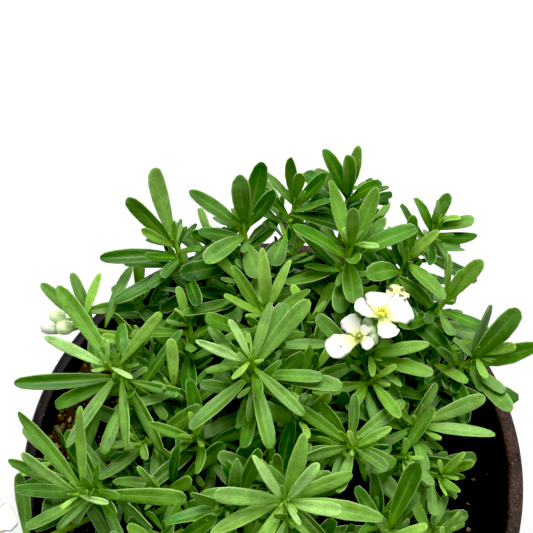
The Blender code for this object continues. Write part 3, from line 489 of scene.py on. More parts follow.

# Finishes: how deep light goes into leaves and petals, how much of a spot is whole, and where wood, dust
# and the browner mix lie
GLOW_DEPTH = 1.2 * MM
GLOW_COLOUR = (0.5, 1.0, 0.25)
SPOT_CORE = 0.45
LEAF_SPOT_COLOUR = (96, 84, 34)
WOOD_STARTS = 8 * MM
WOOD_ENDS = 30 * MM
LIP_DUST_RUN = (-60 * MM, 30 * MM)
FOOT_DUST_HEIGHT = 30 * MM
BROWN_RUN = (-50 * MM, -70 * MM)
BROWN_RAGGED = 60 * MM

# Stage: each lamp's name, place and width, and how far the floor runs from its middle
LAMPS = (("key", (0.12, 0.38, 1.0), 0.6), ("fill", (-0.8, 0.4, 0.8), 0.8))
FLOOR_REACH = 12.0


# Layout: the plant as its solids are placed
def rim_point(x, y, height):
    """A point given in millimetres, with its height above the pot's rim."""
    return Vector((x * MM, y * MM, RIM_HEIGHT + height * MM))


def heading(bearing, rise):
    """The unit vector that points along a bearing and rise in degrees."""
    turn, lift = radians(bearing), radians(rise)
    return Vector((cos(turn) * cos(lift), sin(turn) * cos(lift), sin(lift)))


def around(axis, opening, spin):
    """A direction that leans away from an axis by an opening in degrees, at a spin in radians round it."""
    across = axis.orthogonal().normalized()
    radial = across * cos(spin) + axis.cross(across) * sin(spin)
    return axis * cos(radians(opening)) + radial * sin(radians(opening))


def soil_height(x, y):
    """Height of the mix's top at x, y: a low mound with lumps, heaped towards -X."""
    share = min(1.0, hypot(x, y) / (RIM_RADIUS - LIP_WIDTH))
    broad = sin(SOIL_WAVES[0] * x) * cos(SOIL_WAVES[1] * y)
    fine = sin(SOIL_WAVES[2] * x) * sin(SOIL_WAVES[3] * y)
    heap = smooth_step(min(1.0, max(0.0, (-x - SOIL_HEAP_FROM) / SOIL_HEAP_RUN)))
    raised = SOIL_CROWN * (1 - share * share) + SOIL_HEAP * heap + SOIL_LUMP * (broad + SOIL_FINE * fine)
    return RIM_HEIGHT - SOIL_DROP + raised


def smooth_step(s):
    """Eases a share from 0 to 1 in at the start and out at the end."""
    return s * s * (3 - 2 * s)


def leaf_outline(u):
    """Half-width of a leaf at u along it, as a share of its greatest: spoon-shaped."""
    if u < LEAF_WIDEST:
        return LEAF_FOOT + (1 - LEAF_FOOT) * sin(pi / 2 * u / LEAF_WIDEST)
    return sqrt(max(0.0, 1 - ((u - LEAF_WIDEST) / (1 - LEAF_WIDEST)) ** LEAF_TIP))


def petal_outline(u):
    """Half-width of a petal at u along it: a narrow claw that opens into a round blade."""
    if u < PETAL_WIDEST:
        return PETAL_CLAW + (1 - PETAL_CLAW) * smooth_step(u / PETAL_WIDEST)
    return sqrt(max(0.0, 1 - ((u - PETAL_WIDEST) / (1 - PETAL_WIDEST)) ** PETAL_TIP))


class Blade:
    """A leaf or petal: an arched strip from its foot along a direction, its upper face turned to the axis."""

    def __init__(self, foot, along, axis, length, half_width, thickness, curl, roll, outline, stations):
        self.foot, self.length, self.half_width, self.thickness = foot, length, half_width, thickness
        self.curl, self.outline, self.stations = curl, outline, stations
        self.along = along.normalized()
        side = axis.cross(self.along)
        if side.length < LEAST_SIDE:
            side = Vector((1, 0, 0)).cross(self.along)
        side.normalize()
        self.upward = self.along.cross(side).normalized()
        turned = Matrix.Rotation(roll, 3, self.along)
        self.breadth_way, self.face_way = turned @ side, turned @ self.upward

    def centre(self, u):
        """The midline's point at u, on an arc whose tip rises if the curl is positive, and else nods."""
        start, now = -self.curl / 2, self.curl * (u - 0.5)
        forward = (sin(now) - sin(start)) / self.curl
        droop = (cos(start) - cos(now)) / self.curl
        return self.foot + self.length * (self.along * forward + self.upward * droop)

    def section(self, u, margin=0.0):
        """Both edges and the keel at u, all a margin further out for the test of what it would touch."""
        half = self.half_width * self.outline(u) + margin
        middle = self.centre(u)
        lift = self.face_way * (LEAF_CHANNEL * half + margin)
        depth = KEEL_DEPTH[0] + KEEL_DEPTH[1] * self.outline(u)
        keel = self.face_way * (self.thickness * depth + margin)
        across = self.breadth_way * half
        return middle - across + lift, middle + across + lift, middle - keel

    def corners(self, margin=0.0):
        """The blade's points and triangles: three-cornered sections, closed at the foot, drawn to a tip."""
        points = [p for u in self.stations for p in self.section(u, margin)]
        points.append(self.centre(1.0) + self.face_way * margin)
        faces = [(0, 2, 1)]
        for first in range(0, 3 * (len(self.stations) - 1), 3):
            for a, b in ((0, 1), (1, 2), (2, 0)):
                faces.append((first + a, first + b, first + 3 + b))
                faces.append((first + a, first + 3 + b, first + 3 + a))
        last, tip = 3 * (len(self.stations) - 1), len(points) - 1
        faces += [(last + a, last + b, tip) for a, b in ((0, 1), (1, 2), (2, 0))]
        return points, faces


def make_leaf(foot, along, axis, length, curl, roll, stations=LOW_LEAF_STATIONS, breadth=LEAF_BREADTH):
    """A leaf, with its upper face turned partly to its shoot's axis and mostly to the light."""
    upper_side = (axis * AXIS_SHARE + Vector(LIGHT_WAY)).normalized()
    return Blade(foot, along, upper_side, length, breadth * length, LEAF_THICKNESS, curl, roll, leaf_outline,
                 stations)


def add_ring(points, centre, across, upright, radius, sides):
    """Adds a ring of points round a centre, and gives their numbers."""
    for k in range(sides):
        angle = 2 * pi * k / sides
        points.append(centre + (across * cos(angle) + upright * sin(angle)) * radius)
    return list(range(len(points) - sides, len(points)))


def ring_faces(rings):
    """The faces between rings of points, which close where a ring is one point."""
    faces = []
    for low, high in zip(rings, rings[1:]):
        sides = max(len(low), len(high))
        for k in range(sides):
            after = (k + 1) % sides
            if len(low) == 1:
                faces.append((low[0], high[after], high[k]))
            elif len(high) == 1:
                faces.append((low[k], low[after], high[0]))
            else:
                faces.append((low[k], low[after], high[after], high[k]))
    return faces


class Curve:
    """A stem's or stalk's path: a cubic curve, with a straight root below the mix where it has one."""

    def __init__(self, start, start_way, end, end_way, pieces=None, root=0.0):
        reach = (end - start).length
        self.knots = (start, start + start_way * reach * START_PULL, end - end_way * reach * END_PULL, end)
        count = pieces or max(LEAST_PIECES, round(reach / STEM_STEP))
        self.chords = [self.at(i / count) for i in range(count + 1)]
        self.points = list(self.chords)
        if root:
            self.points.insert(0, start - Vector((0, 0, root)))

    def at(self, t):
        """The curve's point at the share t along it."""
        a, b, c, d = self.knots
        s = 1 - t
        return a * s ** 3 + b * (3 * s * s * t) + c * (3 * s * t * t) + d * t ** 3

    def inside(self, t):
        """The point at the share t along the straight pieces that the stem is drawn with."""
        place = t * (len(self.chords) - 1)
        first = min(int(place), len(self.chords) - 2)
        return self.chords[first].lerp(self.chords[first + 1], place - first)

    def way(self, t):
        """The direction in which the curve runs at t."""
        return (self.at(min(1.0, t + CURVE_STEP)) - self.at(max(0.0, t - CURVE_STEP))).normalized()

    def below_tip(self, distance):
        """The share along the curve that lies a distance short of its tip."""
        t, gone, last = 1.0, 0.0, self.at(1.0)
        while gone < distance and t > 2 * CURVE_STEP:
            t -= CURVE_STEP
            here = self.at(t)
            gone += (here - last).length
            last = here
        return t

    def tube(self, foot_radius, tip_radius, margin=0.0, sides=STEM_SIDES, past_tip=TIP_POINT):
        """Points and faces of the round stem, closed at its foot and drawn to a point past its tip."""
        points, rings, across = [], [], None
        for i, point in enumerate(self.points):
            after, before = self.points[min(i + 1, len(self.points) - 1)], self.points[max(i - 1, 0)]
            way = (after - before).normalized()
            across = way.orthogonal() if across is None else across - way * across.dot(way)
            across.normalize()
            radius = foot_radius + (tip_radius - foot_radius) * i / (len(self.points) - 1) + margin
            rings.append(add_ring(points, point, across, way.cross(across), radius, sides))
        ends = [tuple(reversed(rings[0]))]
        if past_tip:
            rings.append([len(points)])
            points.append(self.points[-1] + self.way(1.0) * past_tip)
        else:
            ends.append(tuple(rings[-1]))
        return points, ring_faces(rings) + ends


class Shoot:
    """A leafy shoot: its path, radii, and its leaves as they are placed."""

    def __init__(self, name, tip, parent, wanted, seed):
        self.name, self.parent, self.wanted = name, parent, wanted
        self.draw = random.Random(seed)
        reach = hypot(tip.x, tip.y)
        outward = degrees(atan2(tip.y, tip.x))
        self.axis = heading(outward, TIP_RISE - EDGE_LEAN * min(1.0, reach / EDGE_REACH))
        self.tip = tip + self.axis * CROWN_RISE
        self.breadth = LEAF_BREADTH * (BROAD_SHARE if name in BROAD_SHOOTS else SLIM_SHARES.get(name, 1))
        self.leaves, self.tuft, self.extras, self.twigs, self.stalks = [], [], [], [], []
        self.node = parent.node if parent else self

    def grow(self, root):
        """Sets the path, from the root in the mix or from a fork on the parent's stem."""
        if self.parent:
            start, way = self.parent.curve.inside(FORK_AT), self.parent.curve.way(FORK_AT)
            self.curve = Curve(start, (way + self.axis * FORK_TURN).normalized(), self.tip, self.axis)
            self.foot_radius = TWIG_RADIUS
        else:
            start = Vector((root.x, root.y, soil_height(root.x, root.y)))
            way = heading(degrees(atan2(root.y, root.x)), ROOT_RISE)
            self.curve = Curve(start, way, self.tip, self.axis, root=ROOT_DEPTH)
            self.foot_radius = STEM_RADIUS


class Obstacles:
    """What is already placed, as search trees with their spheres, so that nothing new crosses it."""

    def __init__(self):
        self.items = []

    def measured(self, points, faces):
        """A shape's centre, its reach from there, and its search tree."""
        centre = sum(points, Vector()) / len(points)
        return centre, max((p - centre).length for p in points), BVHTree.FromPolygons(points, faces)

    def add(self, owner, points, faces):
        """Notes a shape and whose it is."""
        self.items.append((owner, *self.measured(points, faces)))

    def touched(self, points, faces, spare=()):
        """True if the shape crosses anything but what belongs to the owners that are spared."""
        centre, radius, tree = self.measured(points, faces)
        return any(owner not in spare and (centre - at).length < radius + size and other.overlap(tree)
                   for owner, at, size, other in self.items)


def clear_of_pot(blade):
    """True if a leaf stays above the mix and off the pot's rim and wall."""
    for step in range(1, CHECK_STEPS + 1):
        middle = blade.centre(step / CHECK_STEPS)
        for point in (middle, *blade.section(step / CHECK_STEPS, LEAF_GAP)):
            reach = hypot(point.x, point.y)
            low = point.z < RIM_HEIGHT + RIM_ABOVE
            if low and RIM_RADIUS - LIP_WIDTH - RIM_CLEAR < reach < RIM_RADIUS + RIM_CLEAR:
                return False
            if reach < RIM_RADIUS and point.z < soil_height(point.x, point.y) + SOIL_CLEAR:
                return False
    return True


def fill_shoots(made):
    """Tips on a sunflower spiral where no named shoot stands, high in the middle and low at the edge."""
    tips = []
    taken = [s.tip for s in made]
    patches = [(Vector((x * MM, y * MM)), size * MM) for x, y, size in BARE_PATCHES]
    for k in range(FILL_COUNT):
        reach = FILL_RADIUS * sqrt((k + 0.5) / FILL_COUNT)
        angle = radians(GOLDEN_ANGLE * k)
        flat = Vector((reach * cos(angle), reach * sin(angle)))
        if any((flat - middle).length < size for middle, size in patches):
            continue
        near = min((flat - t.xy).length for t in taken)
        if near < FILL_CLEARANCE * (FILL_CROWDING if flat.y > FAR_SIDE else 1.0):
            continue
        share = (reach / FILL_RADIUS) ** 2
        height = FILL_TOP + (FILL_EDGE - FILL_TOP) * share
        if flat.y > FAR_SIDE:
            height -= FILL_LOW
        tips.append(Vector((flat.x, flat.y, RIM_HEIGHT + height)))
        taken.append(tips[-1])
    return tips


def place_shoots():
    """All the shoots with their paths: the named ones, then the filling ones, each rooted or forked."""
    made = {}
    for seed, (name, tip, parent, wanted) in enumerate(SHOOTS):
        made[name] = Shoot(name, rim_point(*tip), made.get(parent), wanted, seed)
    for count, tip in enumerate(fill_shoots(list(made.values())), 1):
        name = f"fill_{count:02d}"
        near = [s for s in made.values() if not s.parent and (s.tip.xy - tip.xy).length < FORK_REACH
                and sum(o.parent is s for o in made.values()) < FORKS_EACH]
        parent = min(near, key=lambda s: (s.tip.xy - tip.xy).length) if near else None
        made[name] = Shoot(name, tip, parent, (), FILL_SEED + count)
    shoots = list(made.values())
    rooted = [s for s in shoots if not s.parent]
    roots = [Vector((s.tip.x * ROOT_SPREAD, s.tip.y * ROOT_SPREAD)) for s in rooted]
    for _ in range(ROOT_ROUNDS):
        for i, a in enumerate(roots):
            for b in roots[i + 1:]:
                apart = a - b
                short = ROOT_SPACING - apart.length
                if short > 0:
                    push = apart.normalized() * short * ROOT_PUSH
                    a += push
                    b -= push
    for shoot, root in zip(rooted, roots):
        shoot.grow(root)
    for shoot in shoots:
        if shoot.parent:
            shoot.grow(None)
    return shoots


def ordered_leaves(shoot):
    """The leaves that a shoot wants: distance below its tip, direction, length, stations, curl and roll."""
    draw, wanted = shoot.draw, []
    phase = draw.uniform(0, 360)
    below = LEAF_START
    for bearing, rise, length in shoot.wanted:
        wanted.append((below, heading(bearing, rise), length * MM, LEAF_STATIONS))
        below += LEAF_SPACING
    crown = LOW_LEAVES if shoot.wanted else FILL_LEAVES if shoot.tip.y < FAR_SIDE else FAR_LEAVES
    if shoot.name in SPARSE_SHOOTS:
        crown = SPARSE_LEAVES
    for k in range(crown):
        share = 1.0 if shoot.wanted else (k + 1) / crown
        opening = LOW_OPENING[0] + (LOW_OPENING[1] - LOW_OPENING[0]) * share + draw.uniform(*OPENING_SWAY)
        spin = radians(phase + GOLDEN_ANGLE * k + draw.uniform(-SPIN_SWAY, SPIN_SWAY))
        along = around(shoot.axis, opening, spin)
        grown = LOW_LENGTH[0] + (LOW_LENGTH[1] - LOW_LENGTH[0]) * min(1.0, share * LOW_GROWTH)
        wanted.append((below, along, LEAF_LENGTH * grown * draw.uniform(*LENGTH_SWAY), LOW_LEAF_STATIONS))
        below += LOW_SPACING if shoot.wanted else FILL_SPACING
    return [(*leaf, draw.uniform(*LEAF_CURL) * draw.choice((1, -1)), draw.uniform(-LEAF_ROLL, LEAF_ROLL))
            for leaf in wanted]


def place_leaves(shoots, obstacles):
    """Places the leaves in turn, youngest first, each nudged until it touches nothing, or left out."""
    for shoot in shoots:
        for below, along, length, stations, curl, roll in ordered_leaves(shoot):
            t = shoot.curve.below_tip(below)
            foot, axis = shoot.curve.inside(t), shoot.curve.way(t)
            for turn, lift, share in NUDGES:
                turned = Matrix.Rotation(radians(turn), 3, axis) @ along
                side = axis.cross(turned)
                if side.length > LEAST_SIDE:
                    turned = Matrix.Rotation(radians(-lift), 3, side.normalized()) @ turned
                leaf = make_leaf(foot, turned, axis, length * share, radians(curl), radians(roll),
                                 stations, shoot.breadth)
                if fits(leaf, shoot, obstacles, LEAF_GAP):
                    shoot.leaves.append(leaf)
                    break
        for leaf in shoot.leaves:
            obstacles.add(shoot.name, *leaf.corners())


def outer_part(leaf):
    """The leaf without its crowded foot, for the test against the leaves of its own shoot."""
    stations = leaf.stations
    leaf.stations = (FREE_FROM, *stations[1:])
    points, faces = leaf.corners()
    leaf.stations = stations
    return points, faces


def crosses(leaf, others):
    """True if the leaf's outer part crosses that of another leaf of its shoot."""
    tree = BVHTree.FromPolygons(*outer_part(leaf))
    return any(BVHTree.FromPolygons(*outer_part(other)).overlap(tree) for other in others)


def fits(leaf, shoot, obstacles, margin=0.0):
    """True if a leaf is clear of the pot, of the other shoots and of its own shoot's leaves."""
    return (clear_of_pot(leaf) and not obstacles.touched(*leaf.corners(margin), spare=(shoot.name,))
            and not crosses(leaf, shoot.leaves + shoot.extras))


def floret_petals(heart, facing, rows):
    """A floret's four petals, which open from its heart across the way that it faces."""
    axis = heading(*facing)
    petals = []
    for bearing, length, breadth in rows:
        level = heading(bearing, 0)
        along = (level - axis * level.dot(axis)).normalized() + axis * PETAL_LIFT
        roll = radians(PETAL_ROLL)
        petals.append(Blade(heart, along, axis, length * MM, breadth * length * MM, PETAL_THICKNESS,
                            radians(PETAL_CURL), roll, petal_outline, PETAL_STATIONS))
    return petals


def bud_shape(centre, way, length):
    """Points and faces of an egg-shaped bud that points along a direction."""
    across = way.orthogonal().normalized()
    points, rings = [centre - way * length * 0.5], [[0]]
    for along, share in BUD_RINGS:
        rings.append(add_ring(points, centre + way * along * length, across, way.cross(across),
                              BUD_BREADTH * share * length, BUD_SIDES))
    rings.append([len(points)])
    points.append(centre + way * length * 0.5)
    return points, ring_faces(rings)


def add_stalk(shoot, end, way, obstacles):
    """A stalk from near the shoot's tip, each a little below the last, to the foot of a floret or bud."""
    start = shoot.curve.inside(STALK_START - STALK_STEP * len(shoot.stalks))
    stalk = Curve(start, Vector((0, 0, 1)), end, way, pieces=STALK_PIECES)
    shoot.stalks.append(stalk)
    tube = stalk.tube(STALK_RADIUS, STALK_RADIUS, sides=STALK_SIDES, past_tip=0)
    obstacles.add(shoot.name, *tube)


def make_florets(shoots, obstacles):
    """The florets over the ends of their stalks: the heart's centre, the way that it faces, its petals."""
    by_name, florets = {s.name: s for s in shoots}, []
    for carrier, heart, facing, rows in FLORETS:
        centre, axis = rim_point(*heart), heading(*facing)
        petals = floret_petals(centre, facing, rows)
        add_stalk(by_name[carrier], centre - axis * (HEART_LENGTH / 2 + STALK_GAP), axis, obstacles)
        for petal in petals:
            obstacles.add("petal", *petal.corners(LEAF_GAP))
        obstacles.add("petal", *bud_shape(centre, axis, HEART_LENGTH))
        florets.append((centre, axis, petals))
    return florets


def make_buds(shoots, obstacles):
    """The clusters of buds over the ends of their stalks: each bud's centre, direction and length."""
    by_name, clusters = {s.name: s for s in shoots}, []
    for carrier, buds in BUD_CLUSTERS:
        cluster = []
        for place, length in buds:
            centre = rim_point(*place)
            way = (centre - by_name[carrier].tip + Vector((0, 0, BUD_LIFT))).normalized()
            add_stalk(by_name[carrier], centre - way * (length * MM / 2 + STALK_GAP), way, obstacles)
            obstacles.add("bud", *bud_shape(centre, way, length * MM))
            cluster.append((centre, way, length * MM))
        clusters.append(cluster)
    return clusters


def turned_shape(profile, sides):
    """Points and faces of a solid turned about Z, from a profile that starts and ends on that axis."""
    points, rings = [], []
    for radius, height in profile:
        count = sides if radius else 1
        rings.append(list(range(len(points), len(points) + count)))
        for k in range(count):
            angle = 2 * pi * k / sides
            points.append((radius * cos(angle), radius * sin(angle), height))
    return points, ring_faces(rings)


def inner_radius(height):
    """The pot's inside radius at a height."""
    low, high = FOOT_RADIUS - WALL, RIM_RADIUS - LIP_WIDTH
    return low + (high - low) * (height - FLOOR) / (RIM_HEIGHT - FLOOR)


def pot_profile():
    """The pot's section as (radius, height), from the middle of its underside to the middle of its floor."""
    lip_inside = RIM_RADIUS - LIP_WIDTH
    shoulder = inner_radius(RIM_HEIGHT - LIP_DEPTH) + WALL
    return [
        (0, 0),
        (FOOT_RADIUS - 1 * MM, 0),
        (FOOT_RADIUS, 1 * MM),
        (shoulder, RIM_HEIGHT - LIP_DEPTH),
        (RIM_RADIUS - 0.4 * MM, RIM_HEIGHT - LIP_DEPTH + 0.6 * MM),
        (RIM_RADIUS, RIM_HEIGHT - 2.6 * MM),
        (RIM_RADIUS - 0.9 * MM, RIM_HEIGHT - 0.7 * MM),
        (RIM_RADIUS - 2.4 * MM, RIM_HEIGHT),
        (lip_inside + 1.2 * MM, RIM_HEIGHT - 0.2 * MM),
        (lip_inside, RIM_HEIGHT - 1.5 * MM),
        (inner_radius(FLOOR), FLOOR),
        (0, FLOOR),
    ]


def slot_place(number):
    """The place and size of one drainage slot's cutter, as a matrix for a unit cube."""
    turn = Matrix.Rotation(2 * pi * (number + 0.5) / SLOTS, 4, "Z")
    move = Matrix.Translation((FOOT_RADIUS, 0, SLOT_HEIGHT / 2 - SLOT_BELOW))
    return turn @ move @ Matrix.Diagonal((2 * SLOT_DEPTH, SLOT_WIDTH, SLOT_HEIGHT + 2 * SLOT_BELOW, 1))


def lay_out():
    """The plant's layout: the shoots with their leaves, the florets, the buds, and all that takes up room."""
    shoots = place_shoots()
    obstacles = Obstacles()
    for shoot in shoots:
        obstacles.add(shoot.name, *shoot.curve.tube(shoot.foot_radius, TIP_RADIUS, margin=LEAF_GAP))
    florets = make_florets(shoots, obstacles)
    clusters = make_buds(shoots, obstacles)
    place_leaves(shoots, obstacles)
    return shoots, florets, clusters, obstacles


# The helpers that build node trees
def screen(red, green, blue):
    """A colour given as it shows on screen, 0 to 255, in the linear values that Blender works in."""
    shares = (value / 255 for value in (red, green, blue))
    return tuple(share / 12.92 if share <= 0.04045 else ((share + 0.055) / 1.055) ** 2.4 for share in shares)


def pick(sockets, name):
    """The socket with a number or a name, and the one in use where several share the name."""
    if isinstance(name, int):
        return sockets[name]
    return [socket for socket in sockets if socket.name == name and socket.enabled][0]


def connect(tree, slot, value):
    """Feeds a socket from a field, or sets it where the value is plain."""
    if isinstance(value, Field):
        tree.links.new(value.socket, slot)
    else:
        slot.default_value = value


def add_node(tree, kind, wires, output=0, **choices):
    """Adds a node with its choices, feeds its inputs by name or number, and gives one output."""
    node = tree.nodes.new(kind)
    for choice, value in choices.items():
        setattr(node, choice, value)
    for slot, value in wires.items():
        connect(tree, pick(node.inputs, slot), value)
    return Field(tree, pick(node.outputs, output))


class Field:
    """A number, vector, colour or geometry in a node tree. Each sum on it adds one node."""

    def __init__(self, tree, socket):
        self.tree, self.socket = tree, socket

    def number(self, operation, *others):
        """One operation of the Math node."""
        return add_node(self.tree, "ShaderNodeMath", dict(enumerate((self, *others))), operation=operation)

    def __add__(self, other):
        return self.number("ADD", other)

    def __sub__(self, other):
        return self.number("SUBTRACT", other)

    def __mul__(self, other):
        return self.number("MULTIPLY", other)

    def __truediv__(self, other):
        return self.number("DIVIDE", other)

    def sine(self):
        return self.number("SINE")

    def cosine(self):
        return self.number("COSINE")

    def size(self):
        return self.number("ABSOLUTE")

    def plus(self, other):
        """The sum of two vectors."""
        return add_node(self.tree, "ShaderNodeVectorMath", {0: self, 1: other}, operation="ADD")

    def scaled(self, factor):
        """The vector or colour times a number."""
        return add_node(self.tree, "ShaderNodeVectorMath", {0: self, "Scale": factor}, operation="SCALE")

    def parts(self):
        """The vector's three numbers."""
        first = add_node(self.tree, "ShaderNodeSeparateXYZ", {0: self})
        return [Field(self.tree, out) for out in first.socket.node.outputs]

    def spread(self, low, high, first=0.0, last=1.0):
        """Runs smoothly from the first value to the last as the field goes from low to high."""
        wires = dict(enumerate((self, low, high, first, last)))
        return add_node(self.tree, "ShaderNodeMapRange", wires, interpolation_type="SMOOTHSTEP")

    def mixed(self, other, share):
        """This colour, turned into the other by a share."""
        wires = {"Factor": share, "A": self, "B": other if isinstance(other, Field) else (*other, 1)}
        return add_node(self.tree, "ShaderNodeMix", wires, output="Result", data_type="RGBA")


class Finish:
    """A material being made, with short ways to read the surface and to noise it."""

    def __init__(self, name, roughness, specular=0.5, subsurface=0.0):
        self.material = bpy.data.materials.new(name)
        self.material.use_nodes = True
        self.tree = self.material.node_tree
        self.shader = self.tree.nodes["Principled BSDF"]
        self.shader.inputs["Roughness"].default_value = roughness
        self.shader.inputs["Specular IOR Level"].default_value = specular
        if subsurface:
            self.shader.inputs["Subsurface Weight"].default_value = subsurface
            self.shader.inputs["Subsurface Scale"].default_value = GLOW_DEPTH
            self.shader.inputs["Subsurface Radius"].default_value = GLOW_COLOUR
        self.place = add_node(self.tree, "ShaderNodeTexCoord", {}, output="Object")

    def stored(self, name, output="Vector"):
        """An attribute of the mesh."""
        return add_node(self.tree, "ShaderNodeAttribute", {}, output, attribute_name=name)

    def noise(self, grain, detail=3.0, roughness=0.55, twist=0.0):
        """Noise from 0 to 1 with lumps of about the grain's size."""
        return add_node(self.tree, "ShaderNodeTexNoise",
                        {"Vector": self.place, "Scale": 1 / grain, "Detail": detail,
                         "Roughness": roughness, "Distortion": twist})

    def cells(self, grain):
        """Distance from the nearest of points scattered about a grain apart."""
        wires = {"Vector": self.place, "Scale": 1 / grain}
        return add_node(self.tree, "ShaderNodeTexVoronoi", wires, "Distance")

    def near(self, point, radius, ragged):
        """1 over a point (x, y), down to 0 at about a radius from it, with a ragged edge."""
        x, y, _ = self.place.parts()
        aside, ahead = x - point[0], y - point[1]
        distance = (aside * aside + ahead * ahead).number("SQRT")
        return (distance + (ragged - 0.5) * radius).spread(radius, SPOT_CORE * radius)

    def colour(self, red_green_blue):
        """A plain colour as a field, to build the pattern on."""
        plain = add_node(self.tree, "ShaderNodeRGB", {})
        plain.socket.default_value = (*red_green_blue, 1)
        return plain

    def done(self, colour, height=None, depth=0.1 * MM, roughness=None):
        """Joins the pattern, the relief and the roughness to the shader."""
        connect(self.tree, self.shader.inputs["Base Color"], colour)
        if roughness:
            connect(self.tree, self.shader.inputs["Roughness"], roughness)
        if height:
            bump = add_node(self.tree, "ShaderNodeBump", {"Distance": depth, "Height": height})
            connect(self.tree, self.shader.inputs["Normal"], bump)
        return self.material


# The helpers that make meshes and put pieces in place
def put(name, data):
    """Adds an object to the scene."""
    made = bpy.data.objects.new(name, data)
    bpy.context.scene.collection.objects.link(made)
    return made


def mesh_from(name, shape):
    """The mesh of a shape that was being edited, which is then let go."""
    mesh = bpy.data.meshes.new(name)
    shape.to_mesh(mesh)
    shape.free()
    return mesh


def store(mesh, name, kind, values):
    """Keeps one value for each point of a mesh as an attribute."""
    layer = mesh.attributes.new(name, kind, "POINT")
    if kind in ("FLOAT", "INT"):
        layer.data.foreach_set("value", list(values))
    else:
        flat = [number for value in values for number in value]
        layer.data.foreach_set("color" if kind == "FLOAT_COLOR" else "vector", flat)


def drop_unused_materials(mesh):
    """Leaves a mesh only the materials that its faces use."""
    used = sorted({face.material_index for face in mesh.polygons})
    kept = [mesh.materials[index] for index in used]
    chosen = [used.index(face.material_index) for face in mesh.polygons]
    mesh.materials.clear()
    for material in kept:
        mesh.materials.append(material)
    mesh.polygons.foreach_set("material_index", chosen)


def keep_mesh(made, name, spare=()):
    """Turns what a modifier makes of an object into a plain mesh in an object of its own."""
    bpy.context.view_layer.update()
    mesh = bpy.data.meshes.new_from_object(made.evaluated_get(bpy.context.evaluated_depsgraph_get()))
    for layer in [a.name for a in mesh.attributes if not a.is_internal and not a.is_required]:
        if layer not in KEPT_ATTRIBUTES and layer not in spare:
            mesh.attributes.remove(mesh.attributes[layer])
    bpy.data.objects.remove(made)
    drop_unused_materials(mesh)
    mesh.name = name
    return put(name, mesh)


def run_tree(made, name, tree, values, spare=()):
    """Runs a tree on an object with its inputs set, and keeps what it makes as a plain piece."""
    modifier = made.modifiers.new(tree.name, "NODES")
    modifier.node_group = tree
    for socket in tree.interface.items_tree:
        if socket.in_out == "INPUT" and socket.name in values:
            modifier[socket.identifier] = values[socket.name]
    return keep_mesh(made, name, spare)


def take_place(piece, node):
    """Puts a finished piece in the place of its solid."""
    if node not in frame["nodes"]:
        raise RuntimeError(f"the frame has no node {node}")
    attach(piece, "root")
    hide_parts(node)


# The shapes that the plant repeats, at unit length and half-width
def unit_shape(name, points, places, faces):
    """The shape's mesh, which carries its own coordinates so that the tree can bend it."""
    mesh = bpy.data.meshes.new(name)
    mesh.from_pydata(points, [], faces)
    turned = bmesh.new()
    turned.from_mesh(mesh)
    bmesh.ops.recalc_face_normals(turned, faces=turned.faces)
    turned.to_mesh(mesh)
    turned.free()
    store(mesh, "shape", "FLOAT_VECTOR", points)
    store(mesh, "place", "FLOAT_VECTOR", places)
    return bpy.data.objects.new(name, mesh)


def unit_blade(name, outline, rings, section):
    """A closed blade: x along it, y across it in half-widths, z in thicknesses from its upper face down."""
    points, places, faces = [], [], []
    count = len(section)
    for u in rings:
        for y, z in section:
            points.append((u, y * outline(u), z * (BLADE_DEPTH[0] + BLADE_DEPTH[1] * outline(u))))
            places.append((u, y, 1.0 if z > HALF_DEPTH else 0.0))
    points.append(BLADE_TIP)
    places.append((1.0, 0.0, 1.0))
    for ring in range(len(rings) - 1):
        for k in range(count):
            a, b = ring * count + k, ring * count + (k + 1) % count
            faces.append((a, a + count, b + count, b))
    last, tip = (len(rings) - 1) * count, len(points) - 1
    faces += [(last + k, tip, last + (k + 1) % count) for k in range(count)]
    faces.append(tuple(range(count)))
    return unit_shape(name, points, places, faces)


def unit_bud(name, rings, sides, lobes, pinch):
    """A closed egg, x along it, shallowly lobed like sepals folded over each other."""
    points, places, faces = [(0.0, 0.0, 0.0)], [(0.0, 0.0, 1.0)], []
    for ring in range(1, rings):
        u = 0.5 - 0.5 * cos(pi * ring / rings)
        wide = sin(pi * ring / rings) ** EGG_FULLNESS * (1 + EGG_FOOT * cos(pi * u))
        for k in range(sides):
            angle = 2 * pi * k / sides
            reach = wide * (1 - pinch * (0.5 - 0.5 * cos(lobes * angle)))
            points.append((u, reach * cos(angle), reach * sin(angle)))
            places.append((u, cos(lobes * angle), 1.0))
    points.append((1.0, 0.0, 0.0))
    places.append((1.0, 0.0, 1.0))
    for k in range(sides):
        after = (k + 1) % sides
        faces.append((0, 1 + after, 1 + k))
        for ring in range(rings - 2):
            a, b = 1 + ring * sides + k, 1 + ring * sides + after
            faces.append((a, b, b + sides, a + sides))
        last = 1 + (rings - 2) * sides
        faces.append((last + k, last + after, len(points) - 1))
    return unit_shape(name, points, places, faces)


def shelf_of(name, shapes):
    """A collection of shapes for a tree to repeat. The tree takes them in the order of their names."""
    shelf = bpy.data.collections.new(name)
    bpy.context.scene.collection.children.link(shelf)
    for shape in shapes:
        shelf.objects.link(shape)
    return shelf


@functools.cache
def plant_shapes():
    """The plant's repeated shapes, in the order of their kinds."""
    return shelf_of("plant shapes", [
        unit_blade("shape 0 leaf", leaf_outline, LEAF_RINGS, LEAF_SECTION),
        unit_blade("shape 1 petal", petal_outline, PETAL_RINGS, PETAL_SECTION),
        unit_bud("shape 2 bud", rings=9, sides=16, lobes=4, pinch=0.10),
        unit_bud("shape 3 anther", rings=5, sides=6, lobes=2, pinch=0.22),
        unit_blade("shape 4 young leaf", leaf_outline, YOUNG_RINGS, YOUNG_SECTION),
    ])


